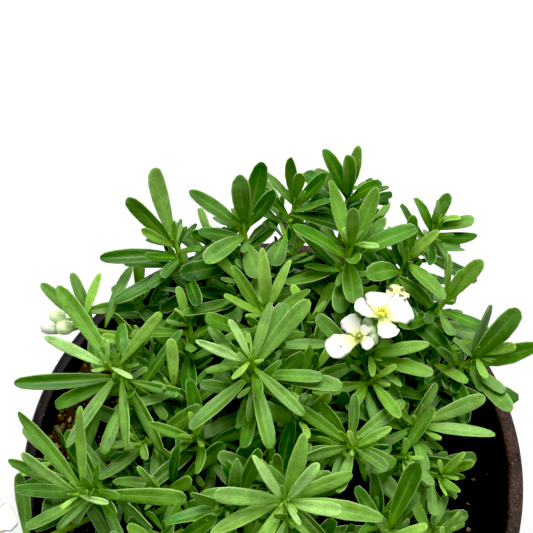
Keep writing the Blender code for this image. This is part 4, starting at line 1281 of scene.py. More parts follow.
@functools.cache
def crumb_shapes():
    """Rough crumbs and flat chips with few faces, to scatter over the mix."""
    shapes = []
    for number, size in enumerate(CRUMB_FORMS):
        draw = random.Random(CRUMB_SEED + number)
        shape = bmesh.new()
        bmesh.ops.create_icosphere(shape, subdivisions=1, radius=1.0)
        for vertex in shape.verts:
            vertex.co = Vector(a * b for a, b in zip(vertex.co, size)) * draw.uniform(*CRUMB_WOBBLE)
        name = f"crumb {number}"
        shapes.append(bpy.data.objects.new(name, mesh_from(name, shape)))
    return shelf_of("crumb shapes", shapes)


# What a stem, a floret or a cluster of buds is grown from
class Sprig:
    """The feet of a piece's blades and eggs and the paths of its stalks, with their sizes."""

    def __init__(self):
        self.points, self.edges, self.kinds, self.tints = [], [], [], []
        self.values = {name: [] for name in VECTORS + NUMBERS}

    def add(self, point, kind, tint, **values):
        self.points.append(point)
        self.kinds.append(kind)
        self.tints.append((*tint, 1.0))
        for name, kept in self.values.items():
            kept.append(values.get(name, (0.0, 0.0, 0.0) if name in VECTORS else 0.0))

    def blade(self, kind, blade, depth, tint, channel=LEAF_CHANNEL, broader=1.0, **values):
        """A leaf, petal or sepal that keeps the place and the form of its solid."""
        self.add(blade.foot, kind, tint, along=blade.along, upward=blade.upward, breadth=blade.breadth_way,
                 face=blade.face_way, reach=blade.length, half=blade.half_width * broader, depth=depth,
                 curl=blade.curl, channel=channel, **values)

    def egg(self, kind, foot, way, reach, half, tint):
        """A bud, ovary or anther that points along a direction."""
        across = way.orthogonal().normalized()
        upright = way.cross(across)
        self.add(foot, kind, tint, along=way, upward=upright, breadth=across, face=upright, reach=reach,
                 half=half, depth=half, curl=LEAST_CURL)

    def stalk(self, points, radii, tint):
        """A round stalk along a path."""
        first = len(self.points)
        for point, radius in zip(points, radii):
            self.add(point, STEM_KIND, tint, radius=radius)
        self.edges += [(first + i, first + i + 1) for i in range(len(points) - 1)]

    def object(self):
        """The feet and paths as an object for the tree, with their values stored on its points."""
        mesh = bpy.data.meshes.new("feet and paths")
        mesh.from_pydata([tuple(p) for p in self.points], self.edges, [])
        store(mesh, "foot", "FLOAT_VECTOR", self.points)
        store(mesh, "kind", "INT", self.kinds)
        store(mesh, "tint", "FLOAT_COLOR", self.tints)
        for name, kept in self.values.items():
            store(mesh, name, "FLOAT_VECTOR" if name in VECTORS else "FLOAT", kept)
        return put("feet and paths", mesh)


# The trees that grow the plant and scatter the crumbs
def new_tree(name, **inputs):
    """A geometry tree, a short way to add a node to it, and its inputs as fields by their names."""
    tree = bpy.data.node_groups.new(name, "GeometryNodeTree")
    for label, kind in inputs.items():
        tree.interface.new_socket(name=label, in_out="INPUT", socket_type="NodeSocket" + kind)
    tree.interface.new_socket(name="Geometry", in_out="OUTPUT", socket_type="NodeSocketGeometry")
    entry = tree.nodes.new("NodeGroupInput")
    given = {label: Field(tree, entry.outputs[label]) for label in inputs}
    return tree, functools.partial(add_node, tree), given


def join(tree, *geometries):
    """Several geometries as one."""
    joint = tree.nodes.new("GeometryNodeJoinGeometry")
    for geometry in geometries:
        connect(tree, joint.inputs[0], geometry)
    return Field(tree, joint.outputs[0])


def end_tree(tree, geometry):
    """Gives a geometry out as what the tree makes."""
    connect(tree, tree.nodes.new("NodeGroupOutput").inputs[0], geometry)
    return tree


def stored_field(tree, name, kind="FLOAT"):
    """A stored attribute as a field in a geometry tree."""
    return add_node(tree, "GeometryNodeInputNamedAttribute", {"Name": name}, "Attribute", data_type=kind)


def random_field(tree, kind, low, high, seed):
    """A random value for each point."""
    return add_node(tree, "FunctionNodeRandomValue", {"Min": low, "Max": high, "Seed": seed}, "Value",
                    data_type=kind)


def placed_shapes(add, shapes, points, **wires):
    """The shapes of a shelf, one on each point."""
    kinds = add("GeometryNodeCollectionInfo",
                {"Collection": shapes, "Separate Children": True, "Reset Children": True})
    return add("GeometryNodeInstanceOnPoints",
               {"Points": points, "Instance": kinds, "Pick Instance": True, **wires})


def bent_position(tree, wave_count):
    """Where a point of a repeated shape goes: along an arc, twisted, folded, rippled and frayed."""
    whole, y, z = stored_field(tree, "shape", "FLOAT_VECTOR").parts()
    along, upward, breadth, face = (stored_field(tree, name, "FLOAT_VECTOR") for name in VECTORS)
    (reach, half, depth, curl, channel, twist, sway, ripple, phase, taper, fray, blunt,
     fold) = (stored_field(tree, name) for name in NUMBERS[:13])
    u = whole - blunt * whole.number("POWER", BLUNT_POWER) * (y * y * -BLUNT_CORNERS + 1.0)
    now = curl * (u - 0.5)
    start = curl * -0.5
    forward = (now.sine() - start.sine()) / curl
    droop = (start.cosine() - now.cosine()) / curl
    middle = along.scaled(forward * reach).plus(upward.scaled(droop * reach))
    tilted = face.plus(upward.scaled(now.cosine() - 1.0)).plus(along.scaled(now.sine() * -1.0))
    turn = twist * (u - TWIST_FROM)
    side = breadth.scaled(turn.cosine()).plus(tilted.scaled(turn.sine()))
    top = tilted.scaled(turn.cosine()).plus(breadth.scaled(turn.sine() * -1.0))
    wave = (u * wave_count + phase + y * WAVE_SLANT).sine() * ripple * u
    lift = z * depth + (channel + wave) * half * y * y + fold * half * y.size()
    ragged = (whole * FRAY_WAVES + phase * FRAY_PHASE + y * FRAY_SLANT).sine() * fray + 1.0
    narrowed = whole.spread(TAPER_FROM, 1.0, 1.0, taper * -1.0 + 1.0)
    aside = y * half * ragged * narrowed + sway * reach * u * u
    foot = stored_field(tree, "foot", "FLOAT_VECTOR")
    return foot.plus(middle).plus(side.scaled(aside)).plus(top.scaled(lift))


@functools.cache
def sprig_tree():
    """The plant's tree: repeated shapes on their feet, bent in place, and round stalks along the paths."""
    tree, add, given = new_tree("Sprig", **{
        "Geometry": "Geometry", "Shapes": "Collection", "Stalk Sides": "Int", "Waves": "Float",
        **{skin: "Material" for skin, _ in SKIN_KINDS}})
    kind = stored_field(tree, "kind", "INT")
    blades = placed_shapes(add, given["Shapes"], given["Geometry"],
                           **{"Instance Index": kind, "Selection": kind.number("GREATER_THAN", -0.5)})
    real = add("GeometryNodeRealizeInstances", {0: blades})
    bent = add("GeometryNodeSetPosition", {"Geometry": real, "Position": bent_position(tree, given["Waves"])})

    paths = add("GeometryNodeMeshToCurve", {0: given["Geometry"]})
    circle = add("GeometryNodeCurvePrimitiveCircle", {"Radius": 1.0, "Resolution": given["Stalk Sides"]})
    tubes = add("GeometryNodeCurveToMesh", {"Curve": paths, "Profile Curve": circle,
                                            "Scale": stored_field(tree, "radius"), "Fill Caps": True})

    smooth = add("GeometryNodeSetShadeSmooth", {0: join(tree, tubes, bent)})
    grown = add("GeometryNodeRealizeInstances", {0: smooth})
    for skin, number in SKIN_KINDS:
        chosen = kind.number("COMPARE", float(number), 0.1)
        grown = add("GeometryNodeSetMaterial",
                    {"Geometry": grown, "Selection": chosen, "Material": given[skin]})
    return end_tree(tree, grown)


@functools.cache
def scatter_tree():
    """The tree for the mix: lumps raised by noise, and crumbs scattered on the loose top."""
    tree, add, given = new_tree("Scattered mix", **{
        "Geometry": "Geometry", "Shapes": "Collection", "Crumbs per area": "Float", "Crumb size": "Float",
        "Lump height": "Float", "Seed": "Int", "Finish": "Material"})
    loose = stored_field(tree, "loose")
    lumps = add("ShaderNodeTexNoise", {"Scale": 1 / LUMP_GRAIN, "Detail": 4, "Roughness": LUMP_ROUGHNESS})
    lifted = (lumps - 0.5) * given["Lump height"] * loose * 2.0
    upright = add("ShaderNodeCombineXYZ", {"Z": lifted})
    raised = add("GeometryNodeSetPosition", {"Geometry": given["Geometry"], "Offset": upright})

    places = add("GeometryNodeDistributePointsOnFaces",
                 {"Mesh": raised, "Selection": loose.number("GREATER_THAN", 0.5),
                  "Density": given["Crumbs per area"], "Seed": given["Seed"]})
    chosen = random_field(tree, "INT", 0, len(CRUMB_FORMS) - 1, FORM_SEED)
    spun = random_field(tree, "FLOAT_VECTOR", (0, 0, 0), CRUMB_TURN, TURN_SEED)
    scale = random_field(tree, "FLOAT", *CRUMB_SHARE, SIZE_SEED)
    luck = random_field(tree, "FLOAT", 0.0, 1.0, CHANCE_SEED)
    crumbs = placed_shapes(add, given["Shapes"], places,
                           **{"Instance Index": chosen, "Rotation": spun,
                              "Scale": scale * scale * given["Crumb size"]})
    marked = add("GeometryNodeStoreNamedAttribute", {"Geometry": crumbs, "Name": "chance", "Value": luck},
                 data_type="FLOAT", domain="INSTANCE")

    real = add("GeometryNodeRealizeInstances", {0: join(tree, marked, raised)})
    return end_tree(tree, add("GeometryNodeSetMaterial", {"Geometry": real, "Material": given["Finish"]}))


# The leaves that the solids leave out
def add_leaf(shoot, obstacles, foot, along, axis, length, draw, tries):
    """Places one more leaf if it fits, turned a little between the tries, and says whether it did."""
    for _ in range(tries):
        curl = radians(draw.uniform(*LEAF_CURL)) * draw.choice((1, -1))
        roll = radians(draw.uniform(-EXTRA_ROLL, EXTRA_ROLL))
        leaf = make_leaf(foot, along, axis, length, curl, roll)
        if fits(leaf, shoot, obstacles):
            shoot.extras.append(leaf)
            return True
        turn = radians(draw.uniform(-RETRY_TURN, RETRY_TURN))
        along = Matrix.Rotation(turn, 3, axis) @ along
        length *= RETRY_SHARE
    return False


def add_tuft(shoot, phase, draw):
    """The tiny newest leaves at a shoot's tip."""
    for k in range(TUFT_LEAVES):
        opening = TUFT_OPENING[0] + TUFT_OPENING[1] * k + draw.uniform(-TUFT_SWAY, TUFT_SWAY)
        along = around(shoot.axis, opening, phase + radians(GOLDEN_ANGLE) * k)
        foot = shoot.curve.inside(shoot.curve.below_tip(TUFT_STEP * k))
        length = (TUFT_LENGTH[0] + TUFT_LENGTH[1] * k) * draw.uniform(*TUFT_LENGTH_SWAY)
        curl = radians(draw.uniform(*TUFT_CURL))
        roll = radians(draw.uniform(-TUFT_ROLL, TUFT_ROLL))
        shoot.tuft.append(make_leaf(foot, along, shoot.axis, length, curl, roll))


def add_twig(shoot, obstacles, number, below, phase, draw):
    """A short side twig with small leaves, kept if any of them fits."""
    t = shoot.curve.below_tip(below)
    way = around(shoot.curve.way(t), draw.uniform(*TWIG_OPENING), phase + TWIG_TURN * number)
    start = shoot.curve.inside(t)
    end = start + way * draw.uniform(*TWIG_REACH)
    placed = 0
    spin = draw.uniform(*TWIG_SPIN)
    for k in range(TWIG_LEAVES):
        share = (k + 1) / TWIG_LEAVES
        opening = TWIG_LEAF_OPENING[0] + TWIG_LEAF_OPENING[1] * share
        along = around(way, opening, spin + radians(GOLDEN_ANGLE) * k)
        length = TWIG_LEAF[0] + (TWIG_LEAF[1] - TWIG_LEAF[0]) * share
        foot = end.lerp(start, TWIG_LEAF_RUN * share)
        placed += add_leaf(shoot, obstacles, foot, along, way, length, draw, TWIG_TRIES)
    if placed:
        shoot.twigs.append((start, end))


def add_small_leaves(shoots, obstacles):
    """The tufts at the tips, more leaves down the stems, and side twigs with their own."""
    for number, shoot in enumerate(shoots):
        draw = random.Random(SMALL_LEAF_SEED + number)
        phase = draw.uniform(0, 2 * pi)
        add_tuft(shoot, phase, draw)
        if shoot.name in SPARSE_SHOOTS:
            continue
        for k in range(EXTRA_LEAVES):
            t = shoot.curve.below_tip(EXTRA_START + EXTRA_STEP * k)
            axis = shoot.curve.way(t)
            spin = phase + radians(GOLDEN_ANGLE) * (k + EXTRA_TURNS)
            along = around(axis, draw.uniform(*EXTRA_OPENING), spin)
            length = draw.uniform(*EXTRA_LENGTH)
            add_leaf(shoot, obstacles, shoot.curve.inside(t), along, axis, length, draw, EXTRA_TRIES)
        for count, below in enumerate(TWIG_PLACES):
            add_twig(shoot, obstacles, count, below, phase, draw)
        for leaf in shoot.extras:
            obstacles.add(shoot.name, *leaf.corners())


@functools.cache
def plant():
    """The plant's layout with its small leaves, worked out once."""
    shoots, florets, clusters, obstacles = lay_out()
    add_small_leaves(shoots, obstacles)
    return shoots, florets, clusters


# The settings that a user would change
def shade(label, says, *shown):
    """A colour, whose default is given as it shows on screen."""
    return FloatVectorProperty(name=label, description="Colour of " + says, subtype="COLOR",
                               default=screen(*shown))


def span(label, says, default):
    """A length in metres."""
    return FloatProperty(name=label, description=says, default=default, unit="LENGTH", subtype="DISTANCE")


def arc(label, says, opening):
    """An angle, whose default is given in degrees."""
    return FloatProperty(name=label, description=says, default=radians(opening), subtype="ANGLE",
                         unit="ROTATION")


class PotSettings(bpy.types.PropertyGroup):
    """Sizes and colours of the pot."""
    sides: IntProperty(name="Sides", description="Facets round the pot", default=144, min=24)
    rounding: span("Rounding", "Radius that softens the pot's edges", 0.7 * MM)
    plastic: shade("Plastic", "the clean plastic", 19, 16, 15)
    dust: shade("Dust", "the dried soil on the lip", 88, 70, 61)
    speck: shade("Specks", "the pale specks on the lip", 158, 124, 84)


class MixSettings(bpy.types.PropertyGroup):
    """Sizes and colours of the potting mix."""
    crumbs: IntProperty(name="Crumbs", description="Crumbs and chips on the top", default=5600, min=0)
    crumb_size: span("Crumb size", "Radius of the largest crumb", 1.9 * MM)
    lump: span("Lumps", "Height of the lumps in the top", 2.4 * MM)
    # The mix is this near-black colour, and turns browner towards -X
    peat: shade("Peat", "the damp mix", 24, 19, 15)
    bark: shade("Bark", "the bark chips and of the dry mix", 136, 116, 74)
    grit: shade("Grit", "the pale grit", 206, 186, 142)


class LeafSettings(bpy.types.PropertyGroup):
    """Sizes and colours of the leaves and stems."""
    young: shade("Young leaf", "the newest leaves", 158, 208, 86)
    # Pale leaf is painted sheen: the sky's reflection on a few leaves' upper faces
    pale: shade("Pale leaf", "the few palest leaves", 176, 220, 132)
    mature: shade("Grown leaf", "the grown leaves", 66, 121, 20)
    # Old leaf is also the painted shade of leaves deep in the mound
    old: shade("Old leaf", "the lowest leaves", 32, 84, 20)
    # Bloom is grey wax on some leaves, and also the painted sheen in patches on their upper faces
    bloom_and_sheen: shade("Bloom", "the grey wax on some leaves", 110, 152, 74)
    # The margin colour paints the rim highlight along the leaves' edges, and the pale midrib
    margin: shade("Margin", "the leaf's pale edge", 188, 218, 140)
    foot: shade("Leaf foot", "the leaf where it joins its stem", 114, 160, 44)
    stem: shade("Stem", "the green stems", 116, 156, 50)
    wood: shade("Wood", "the old stems near the mix", 92, 74, 44)
    thickness: span("Thickness", "Thickness of a leaf at its middle", 0.55 * MM)
    twist: arc("Twist", "Most that a leaf twists from foot to tip", 34)
    ripple: FloatProperty(name="Ripple", description="Wave of a leaf's margin as a share of its half-width",
                          default=0.07, subtype="FACTOR", min=0, max=1)


class FlowerSettings(bpy.types.PropertyGroup):
    """Sizes and colours of the florets and buds."""
    petal: shade("Petal", "the petals", 222, 226, 212)
    claw: shade("Claw", "the petals' narrow feet", 202, 216, 96)
    wilted: shade("Wilted", "a petal past its best", 222, 216, 150)
    spot: shade("Spots", "the spots on old petals", 92, 84, 22)
    anther: shade("Anther", "the anthers", 236, 238, 84)
    spent: shade("Spent anther", "anthers past their best", 150, 138, 40)
    bud: shade("Bud", "the closed buds", 216, 238, 176)
    thickness: span("Thickness", "Thickness of a petal", 0.34 * MM)


class StageSettings(bpy.types.PropertyGroup):
    """The floor, the light and the camera."""
    floor: shade("Floor", "the floor", 226, 226, 226)
    sky: FloatProperty(name="Sky", description="Strength of the even light all round", default=0.54)
    key: FloatProperty(name="Key light", description="Power of the larger lamp", default=11.2, unit="POWER")
    fill: FloatProperty(name="Fill light", description="Power of the weaker lamp", default=2.0, unit="POWER")
    black: FloatProperty(name="Black level", description="Light that is shown as black", default=0.019)
    lens: FloatProperty(name="Lens", description="Focal length in mm on a 36 mm sensor", default=81.05)
    look: FloatVectorProperty(name="Look at", description="Point in the middle of the picture", unit="LENGTH",
                              subtype="TRANSLATION", default=(-0.002, 0.0721, 0.160))
    distance: span("Distance", "From the camera to that point", 0.424)
    elevation: arc("Elevation", "How steeply the camera looks down", 65.1)


# The finishes
def leaf_skin():
    """Waxy green skin: sunk midrib, pale foot, faint veins, grey underside, painted rim highlight, sheen."""
    looks = bpy.context.scene.candytuft_leaf
    skin = Finish("leaf skin", 0.46, specular=0.3, subsurface=0.06)
    u, across, top = skin.stored("place").parts()
    off_middle = across.size()
    mottle = skin.noise(3.2 * MM, 3.0)
    patches = skin.noise(11 * MM, 2.0)
    grain = skin.noise(0.6 * MM, 4.0, 0.7)
    veins = (u * 58.0 - off_middle * 9.0).sine().spread(0.2, 1.0)
    rib = off_middle.spread(0.02, 0.13, 1.0, 0.0) * u.spread(0.55, 1.0, 1.0, 0.15)
    band = off_middle.spread(0.04, 0.55, 1.0, 0.0) * u.spread(0.95, 0.30) * top
    edge = off_middle.spread(0.84, 0.98) * u.spread(0.05, 0.3)
    spots = skin.cells(5.5 * MM).spread(0.035, 0.075, 1.0, 0.0) * patches.spread(0.56, 0.60)
    uneven = mottle.spread(0.3, 0.7, 0.84, 1.10) * patches.spread(0.35, 0.65, 0.82, 1.12)
    colour = skin.stored("tint", "Color").scaled(uneven * grain.spread(0.3, 0.7, 0.87, 1.13))
    # Painted sheen: patches of the bloom colour on the upper face, for the light on glossy leaves
    colour = colour.mixed(looks.bloom_and_sheen, patches.spread(0.52, 0.74, 0.0, 0.20) * top)
    colour = colour.mixed(looks.bloom_and_sheen, top.spread(0.0, 1.0, 0.40, 0.0))
    colour = colour.scaled(veins.spread(0.0, 1.0, 1.0, 0.965))
    colour = colour.mixed(looks.foot, u.spread(0.0, 0.34, 0.75, 0.0))
    colour = colour.mixed(looks.foot, band * 0.26)
    colour = colour.mixed(looks.margin, rib * 0.16)
    # Painted rim highlight: the margin colour along the leaf's edges
    colour = colour.mixed(looks.margin, edge * 0.6)
    colour = colour.mixed(screen(*LEAF_SPOT_COLOUR), spots * 0.75)
    height = grain * 0.2 + mottle * 0.4 - rib * 0.16 - veins * 0.1
    return skin.done(colour, height, 0.28 * MM, mottle.spread(0.2, 0.8, 0.34, 0.52))


def stalk_bark():
    """Ribbed green bark that turns woody towards the mix."""
    looks = bpy.context.scene.candytuft_leaf
    bark = Finish("stalk bark", 0.55, specular=0.3)
    height = bark.place.parts()[2]
    mottle = bark.noise(1.8 * MM, 4.0)
    green = bark.colour(looks.stem).scaled(mottle.spread(0.25, 0.75, 0.8, 1.15))
    brown = bark.colour(looks.wood).scaled(mottle.spread(0.3, 0.7, 0.6, 1.2))
    woody = (height + mottle * 0.02).spread(RIM_HEIGHT + WOOD_ENDS, RIM_HEIGHT + WOOD_STARTS)
    return bark.done(green.mixed(brown, woody), mottle, 0.25 * MM)


def petal_skin():
    """White petals, yellow-green at the claw, with faint veins, and brown-spotted where they wilt."""
    looks = bpy.context.scene.candytuft_flower
    skin = Finish("petal skin", 0.55, specular=0.3, subsurface=0.18)
    u, across, _ = skin.stored("place").parts()
    wilt = skin.stored("wilt", "Fac")
    blotch = skin.noise(2.6 * MM, 2.0)
    fray = skin.noise(0.8 * MM, 3.0)
    veins = (across * 17.0 + blotch * 1.5).sine().spread(0.35, 1.0)
    colour = skin.colour(looks.petal).scaled(veins.spread(0.0, 1.0, 1.0, 0.965))
    colour = colour.mixed(looks.wilted, wilt.spread(0.5, 1.0) * blotch.spread(0.2, 0.7, 0.6, 1.0))
    colour = colour.mixed(looks.claw, u.spread(0.06, 0.58, 0.9, 0.0))
    for x, y, radius in PETAL_SPOTS:
        colour = colour.mixed(looks.spot, skin.near((x * MM, y * MM), radius * MM, fray) * 0.9)
    return skin.done(colour, veins * -0.5 + blotch * 0.6, 0.12 * MM)


def bud_skin():
    """Pale closed buds, greener at the foot, with the seams of the sepals."""
    looks = bpy.context.scene.candytuft_flower
    leaf = bpy.context.scene.candytuft_leaf
    skin = Finish("bud skin", 0.5, specular=0.3, subsurface=0.15)
    u, seam, _ = skin.stored("place").parts()
    mottle = skin.noise(1.2 * MM, 3.0)
    colour = skin.stored("tint", "Color").scaled(mottle.spread(0.25, 0.75, 0.93, 1.05))
    colour = colour.mixed(leaf.mature, u.spread(0.0, 0.5, 0.55, 0.0))
    colour = colour.mixed(leaf.mature, seam.spread(-0.55, -1.0) * u.spread(0.95, 0.5) * 0.45)
    return skin.done(colour.mixed(looks.petal, u.spread(0.80, 1.0, 0.0, 0.25)), mottle, 0.1 * MM)


def anther_skin():
    """Yellow anthers, mealy with pollen."""
    skin = Finish("anther skin", 0.7, specular=0.2, subsurface=0.1)
    pollen = skin.noise(0.3 * MM, 2.0)
    colour = skin.stored("tint", "Color").scaled(pollen.spread(0.3, 0.7, 0.8, 1.1))
    return skin.done(colour, pollen, 0.12 * MM)


@functools.cache
def plant_skins():
    """The plant's materials by the names of the tree's inputs."""
    return {"Leaf Skin": leaf_skin(), "Stalk Bark": stalk_bark(), "Petal Skin": petal_skin(),
            "Bud Skin": bud_skin(), "Anther Skin": anther_skin()}


def pot_plastic():
    """Black nursery plastic, with dried soil and pale specks on the lip and a little dust on the wall."""
    looks = bpy.context.scene.candytuft_pot
    plastic = Finish("nursery plastic", 0.4, specular=0.2)
    x, y, z = plastic.place.parts()
    reach = (x * x + y * y).number("SQRT")
    lip_foot, lip_inside = RIM_HEIGHT - LIP_DEPTH, RIM_RADIUS - LIP_WIDTH
    lip = z.spread(lip_foot, lip_foot + 1.5 * MM) * reach.spread(lip_inside - 0.2 * MM, lip_inside + 1.0 * MM)
    cloud = plastic.noise(9 * MM, 5.0, 0.65)
    grain = plastic.noise(0.7 * MM, 5.0, 0.8)
    # The dust on the lip fades out towards -X, so the lip is darker on that side
    dusty = (cloud * 0.6 + grain * 0.6).spread(0.42, 0.78) * x.spread(*LIP_DUST_RUN, 0.0, 1.0)
    soil = plastic.colour(looks.dust).scaled(grain.spread(0.35, 0.65, 0.55, 1.25))
    specks = plastic.cells(1.5 * MM).spread(0.10, 0.24, 1.0, 0.0) * plastic.noise(4 * MM).spread(0.52, 0.66)
    foot_dust = z.spread(FOOT_DUST_HEIGHT, 0.0) * cloud.spread(0.35, 0.7)
    colour = plastic.colour(looks.plastic).scaled(grain.spread(0.3, 0.7, 0.75, 1.3))
    colour = colour.mixed(soil, dusty * lip * 0.9)
    colour = colour.mixed(looks.speck, specks * lip * 0.8)
    colour = colour.mixed(looks.dust, foot_dust * 0.35)
    colour = colour.mixed(looks.dust, cloud.spread(0.52, 0.78) * 0.10)
    rough = (grain * 0.2 + dusty * lip * 0.5 + foot_dust * 0.2) + 0.34
    return plastic.done(colour, grain + specks * lip * 1.2, 0.18 * MM, rough)


def mix_peat():
    """Near-black mix, turning brown towards the left wall, with crumbs, bark and a little pale grit."""
    looks = bpy.context.scene.candytuft_mix
    peat = Finish("potting mix", 0.95, specular=0.1)
    chance = peat.stored("chance", "Fac")
    clods = peat.noise(2.4 * MM, 5.0, 0.7)
    fibres = peat.noise(0.5 * MM, 4.0, 0.7, twist=1.2)
    patches = peat.noise(8 * MM, 4.0, 0.7)
    browner = (peat.place.parts()[0] + (patches - 0.5) * BROWN_RAGGED).spread(*BROWN_RUN)
    dust = peat.colour(looks.bark).scaled(fibres.spread(0.3, 0.7, 0.3, 1.2))
    chips = peat.colour(looks.bark).scaled(fibres.spread(0.2, 0.8, 0.5, 1.4))
    colour = peat.colour(looks.peat).scaled(clods.spread(0.3, 0.75, 0.45, 1.5))
    colour = colour.mixed(dust, browner * clods.spread(0.3, 0.55, 0.35, 0.95))
    colour = colour.mixed(looks.bark, fibres.spread(0.58, 0.72) * (browner * 0.5 + 0.12))
    colour = colour.mixed(chips, (chance + browner * 0.35).spread(0.95, 0.97) * (browner * 0.4 + 0.5))
    colour = colour.scaled(browner.spread(0.0, 1.0, 1.0, chance.spread(0.0, 0.9, 0.24, 1.45)))
    colour = colour.mixed(looks.grit, chance.spread(0.985, 0.99) * (browner * 0.5 + 0.3))
    return peat.done(colour, clods + fibres * 0.5, 0.5 * MM)


# The pieces
def rounded(profile, radius, steps=4):
    """A profile with its corners rounded by short curves."""
    made = [profile[0]]
    for corners in zip(profile, profile[1:], profile[2:]):
        before, corner, after = (Vector(place) for place in corners)
        near = min(radius, CORNER_REACH * min((corner - before).length, (after - corner).length))
        start = corner + (before - corner).normalized() * near
        end = corner + (after - corner).normalized() * near
        for step in range(steps + 1):
            share = step / steps
            made.append(tuple(start.lerp(corner, share).lerp(corner.lerp(end, share), share)))
    return made + [profile[-1]]


def slot_cutter():
    """The drainage slots as boxes with rounded upper corners, to cut the pot with."""
    shape = bmesh.new()
    for number in range(SLOTS):
        bmesh.ops.create_cube(shape, size=1, matrix=slot_place(number))
    corners = [e for e in shape.edges if abs((e.verts[0].co - e.verts[1].co).normalized().z) < 0.5
               and e.verts[0].co.z > SLOT_HEIGHT / 2 and e.calc_length() > SLOT_LONG]
    bmesh.ops.bevel(shape, geom=corners, offset=SLOT_ROUNDING, segments=SLOT_STEPS, affect="EDGES")
    return put("slots", mesh_from("slots", shape))


def make_pot_piece():
    """The pot: the solid's own section with softened edges, turned finely, and its slots cut."""
    looks = bpy.context.scene.candytuft_pot
    points, faces = turned_shape(rounded(pot_profile(), looks.rounding), looks.sides)
    pot = put("turned pot", bpy.data.meshes.new("turned pot"))
    pot.data.from_pydata(points, [], faces)
    pot.data.materials.append(pot_plastic())
    cutter = slot_cutter()
    cut = pot.modifiers.new("Slots", "BOOLEAN")
    cut.operation, cut.object, cut.solver = "DIFFERENCE", cutter, "EXACT"
    piece = keep_mesh(pot, "pot_body")
    bpy.data.objects.remove(cutter)
    piece.data.shade_smooth()
    piece.data.set_sharp_from_angle(angle=radians(POT_SHARP_FROM))
    take_place(piece, "pot")


def make_mix_piece():
    """The mix: the solid's plug with a fine top, lumps and crumbs."""
    looks = bpy.context.scene.candytuft_mix
    top = RIM_HEIGHT - SOIL_DROP
    foot, edge = inner_radius(MIX_FOOT) - SOIL_GAP, inner_radius(top) - SOIL_GAP
    profile = [(0, MIX_FOOT), (foot, MIX_FOOT), (edge, top)]
    profile += [(edge * (1 - ring / MIX_RINGS), top) for ring in range(1, MIX_RINGS)] + [(0, top)]
    points, faces = turned_shape(profile, MIX_SIDES)
    loose = [0.0] * len(points)
    for number, (x, y, z) in enumerate(points):
        if z > top - HAIR:
            inward = (1 - hypot(x, y) / edge) / LOOSE_RUN
            loose[number] = smooth_step(min(1.0, max(0.0, inward)))
            points[number] = (x, y, soil_height(x, y))
    plug = put("plug", bpy.data.meshes.new("plug"))
    plug.data.from_pydata(points, [], faces)
    store(plug.data, "loose", "FLOAT", loose)
    values = {"Shapes": crumb_shapes(), "Crumbs per area": looks.crumbs / (pi * edge * edge),
              "Crumb size": looks.crumb_size, "Lump height": looks.lump, "Seed": SCATTER_SEED,
              "Finish": mix_peat()}
    piece = run_tree(plug, "mix_top", scatter_tree(), values, spare=("chance",))
    take_place(piece, "potting_mix")


def grow_piece(sprig, name, node):
    """Grows one piece of the plant with the tree, and puts it in the place of its solid."""
    values = {"Shapes": plant_shapes(), "Stalk Sides": STALK_FACETS, "Waves": LEAF_WAVES, **plant_skins()}
    take_place(run_tree(sprig.object(), name, sprig_tree(), values), node)


def mixed_colour(first, last, share):
    """A colour between two, by a share that is held between 0 and 1."""
    share = max(0.0, min(1.0, share))
    return tuple(a + (b - a) * share for a, b in zip(first, last))


def leaf_tint(draw, age, foot, below, freshness):
    """One leaf's colour: yellow-green when new, age and painted shade deep in the mound, and some greyed."""
    looks = bpy.context.scene.candytuft_leaf
    # Painted shade, partly age: leaves lower over the rim and deeper below their tip turn towards the old
    # colour
    light = HEIGHT_AGE_AND_SHADE * (foot.z - RIM_HEIGHT) / AGE_AND_SHADE_REACH - DEPTH_AGE_AND_SHADE * below / AGE_AND_SHADE_DEPTH
    youth = YOUTH * (1 - age) ** YOUTH_FADE
    colour = mixed_colour(looks.old, looks.mature, light + draw.uniform(*GROWN_SWAY))
    colour = mixed_colour(colour, looks.young, youth + draw.uniform(*YOUNG_SWAY) + freshness)
    colour = mixed_colour(colour, looks.old, -freshness)
    if draw.random() < GREYED_SHARE:
        colour = mixed_colour(colour, looks.bloom_and_sheen, draw.uniform(*BLOOM_SHARE))
    tone = draw.uniform(*TONE)
    return tuple(c * tone * draw.uniform(*HUE_SWAY) for c in colour)


def add_blades(sprig, shoot, draw):
    """All the leaves of one shoot: its own, the small ones down the stem and the tuft."""
    looks = bpy.context.scene.candytuft_leaf
    fresh, pale = FRESHNESS.get(shoot.name, 0.0), SHEEN_LEAVES.get(shoot.name, {})
    first_age, age_run = LEAF_AGES
    groups = [(LEAF_KIND, leaf, first_age + age_run * k / len(shoot.leaves), pale.get(k, 0.0))
              for k, leaf in enumerate(shoot.leaves)]
    groups += [(YOUNG_KIND, leaf, EXTRA_AGE, 0.0) for leaf in shoot.extras]
    groups += [(YOUNG_KIND, leaf, TUFT_AGE * k, 0.0) for k, leaf in enumerate(shoot.tuft)]
    for kind, leaf, age, sheen_share in groups:
        tint = leaf_tint(draw, age, leaf.foot, (shoot.tip - leaf.foot).length, fresh)
        thickness = looks.thickness * min(1.0, LEAST_THICKNESS + leaf.length / THICK_FROM)
        # Painted sheen: a few leaves are mixed towards the pale colour, as if their upper face reflected the
        # sky
        sprig.blade(kind, leaf, thickness, mixed_colour(tint, looks.pale, sheen_share),
                    channel=draw.uniform(*CHANNELS), fold=draw.uniform(*FOLDS),
                    blunt=draw.uniform(*BLUNTNESS), taper=draw.choice(TAPERS),
                    twist=draw.uniform(-looks.twist, looks.twist),
                    sway=draw.uniform(-LEAF_SWAY, LEAF_SWAY), ripple=looks.ripple * draw.uniform(*RIPPLES),
                    phase=draw.uniform(*PHASES))


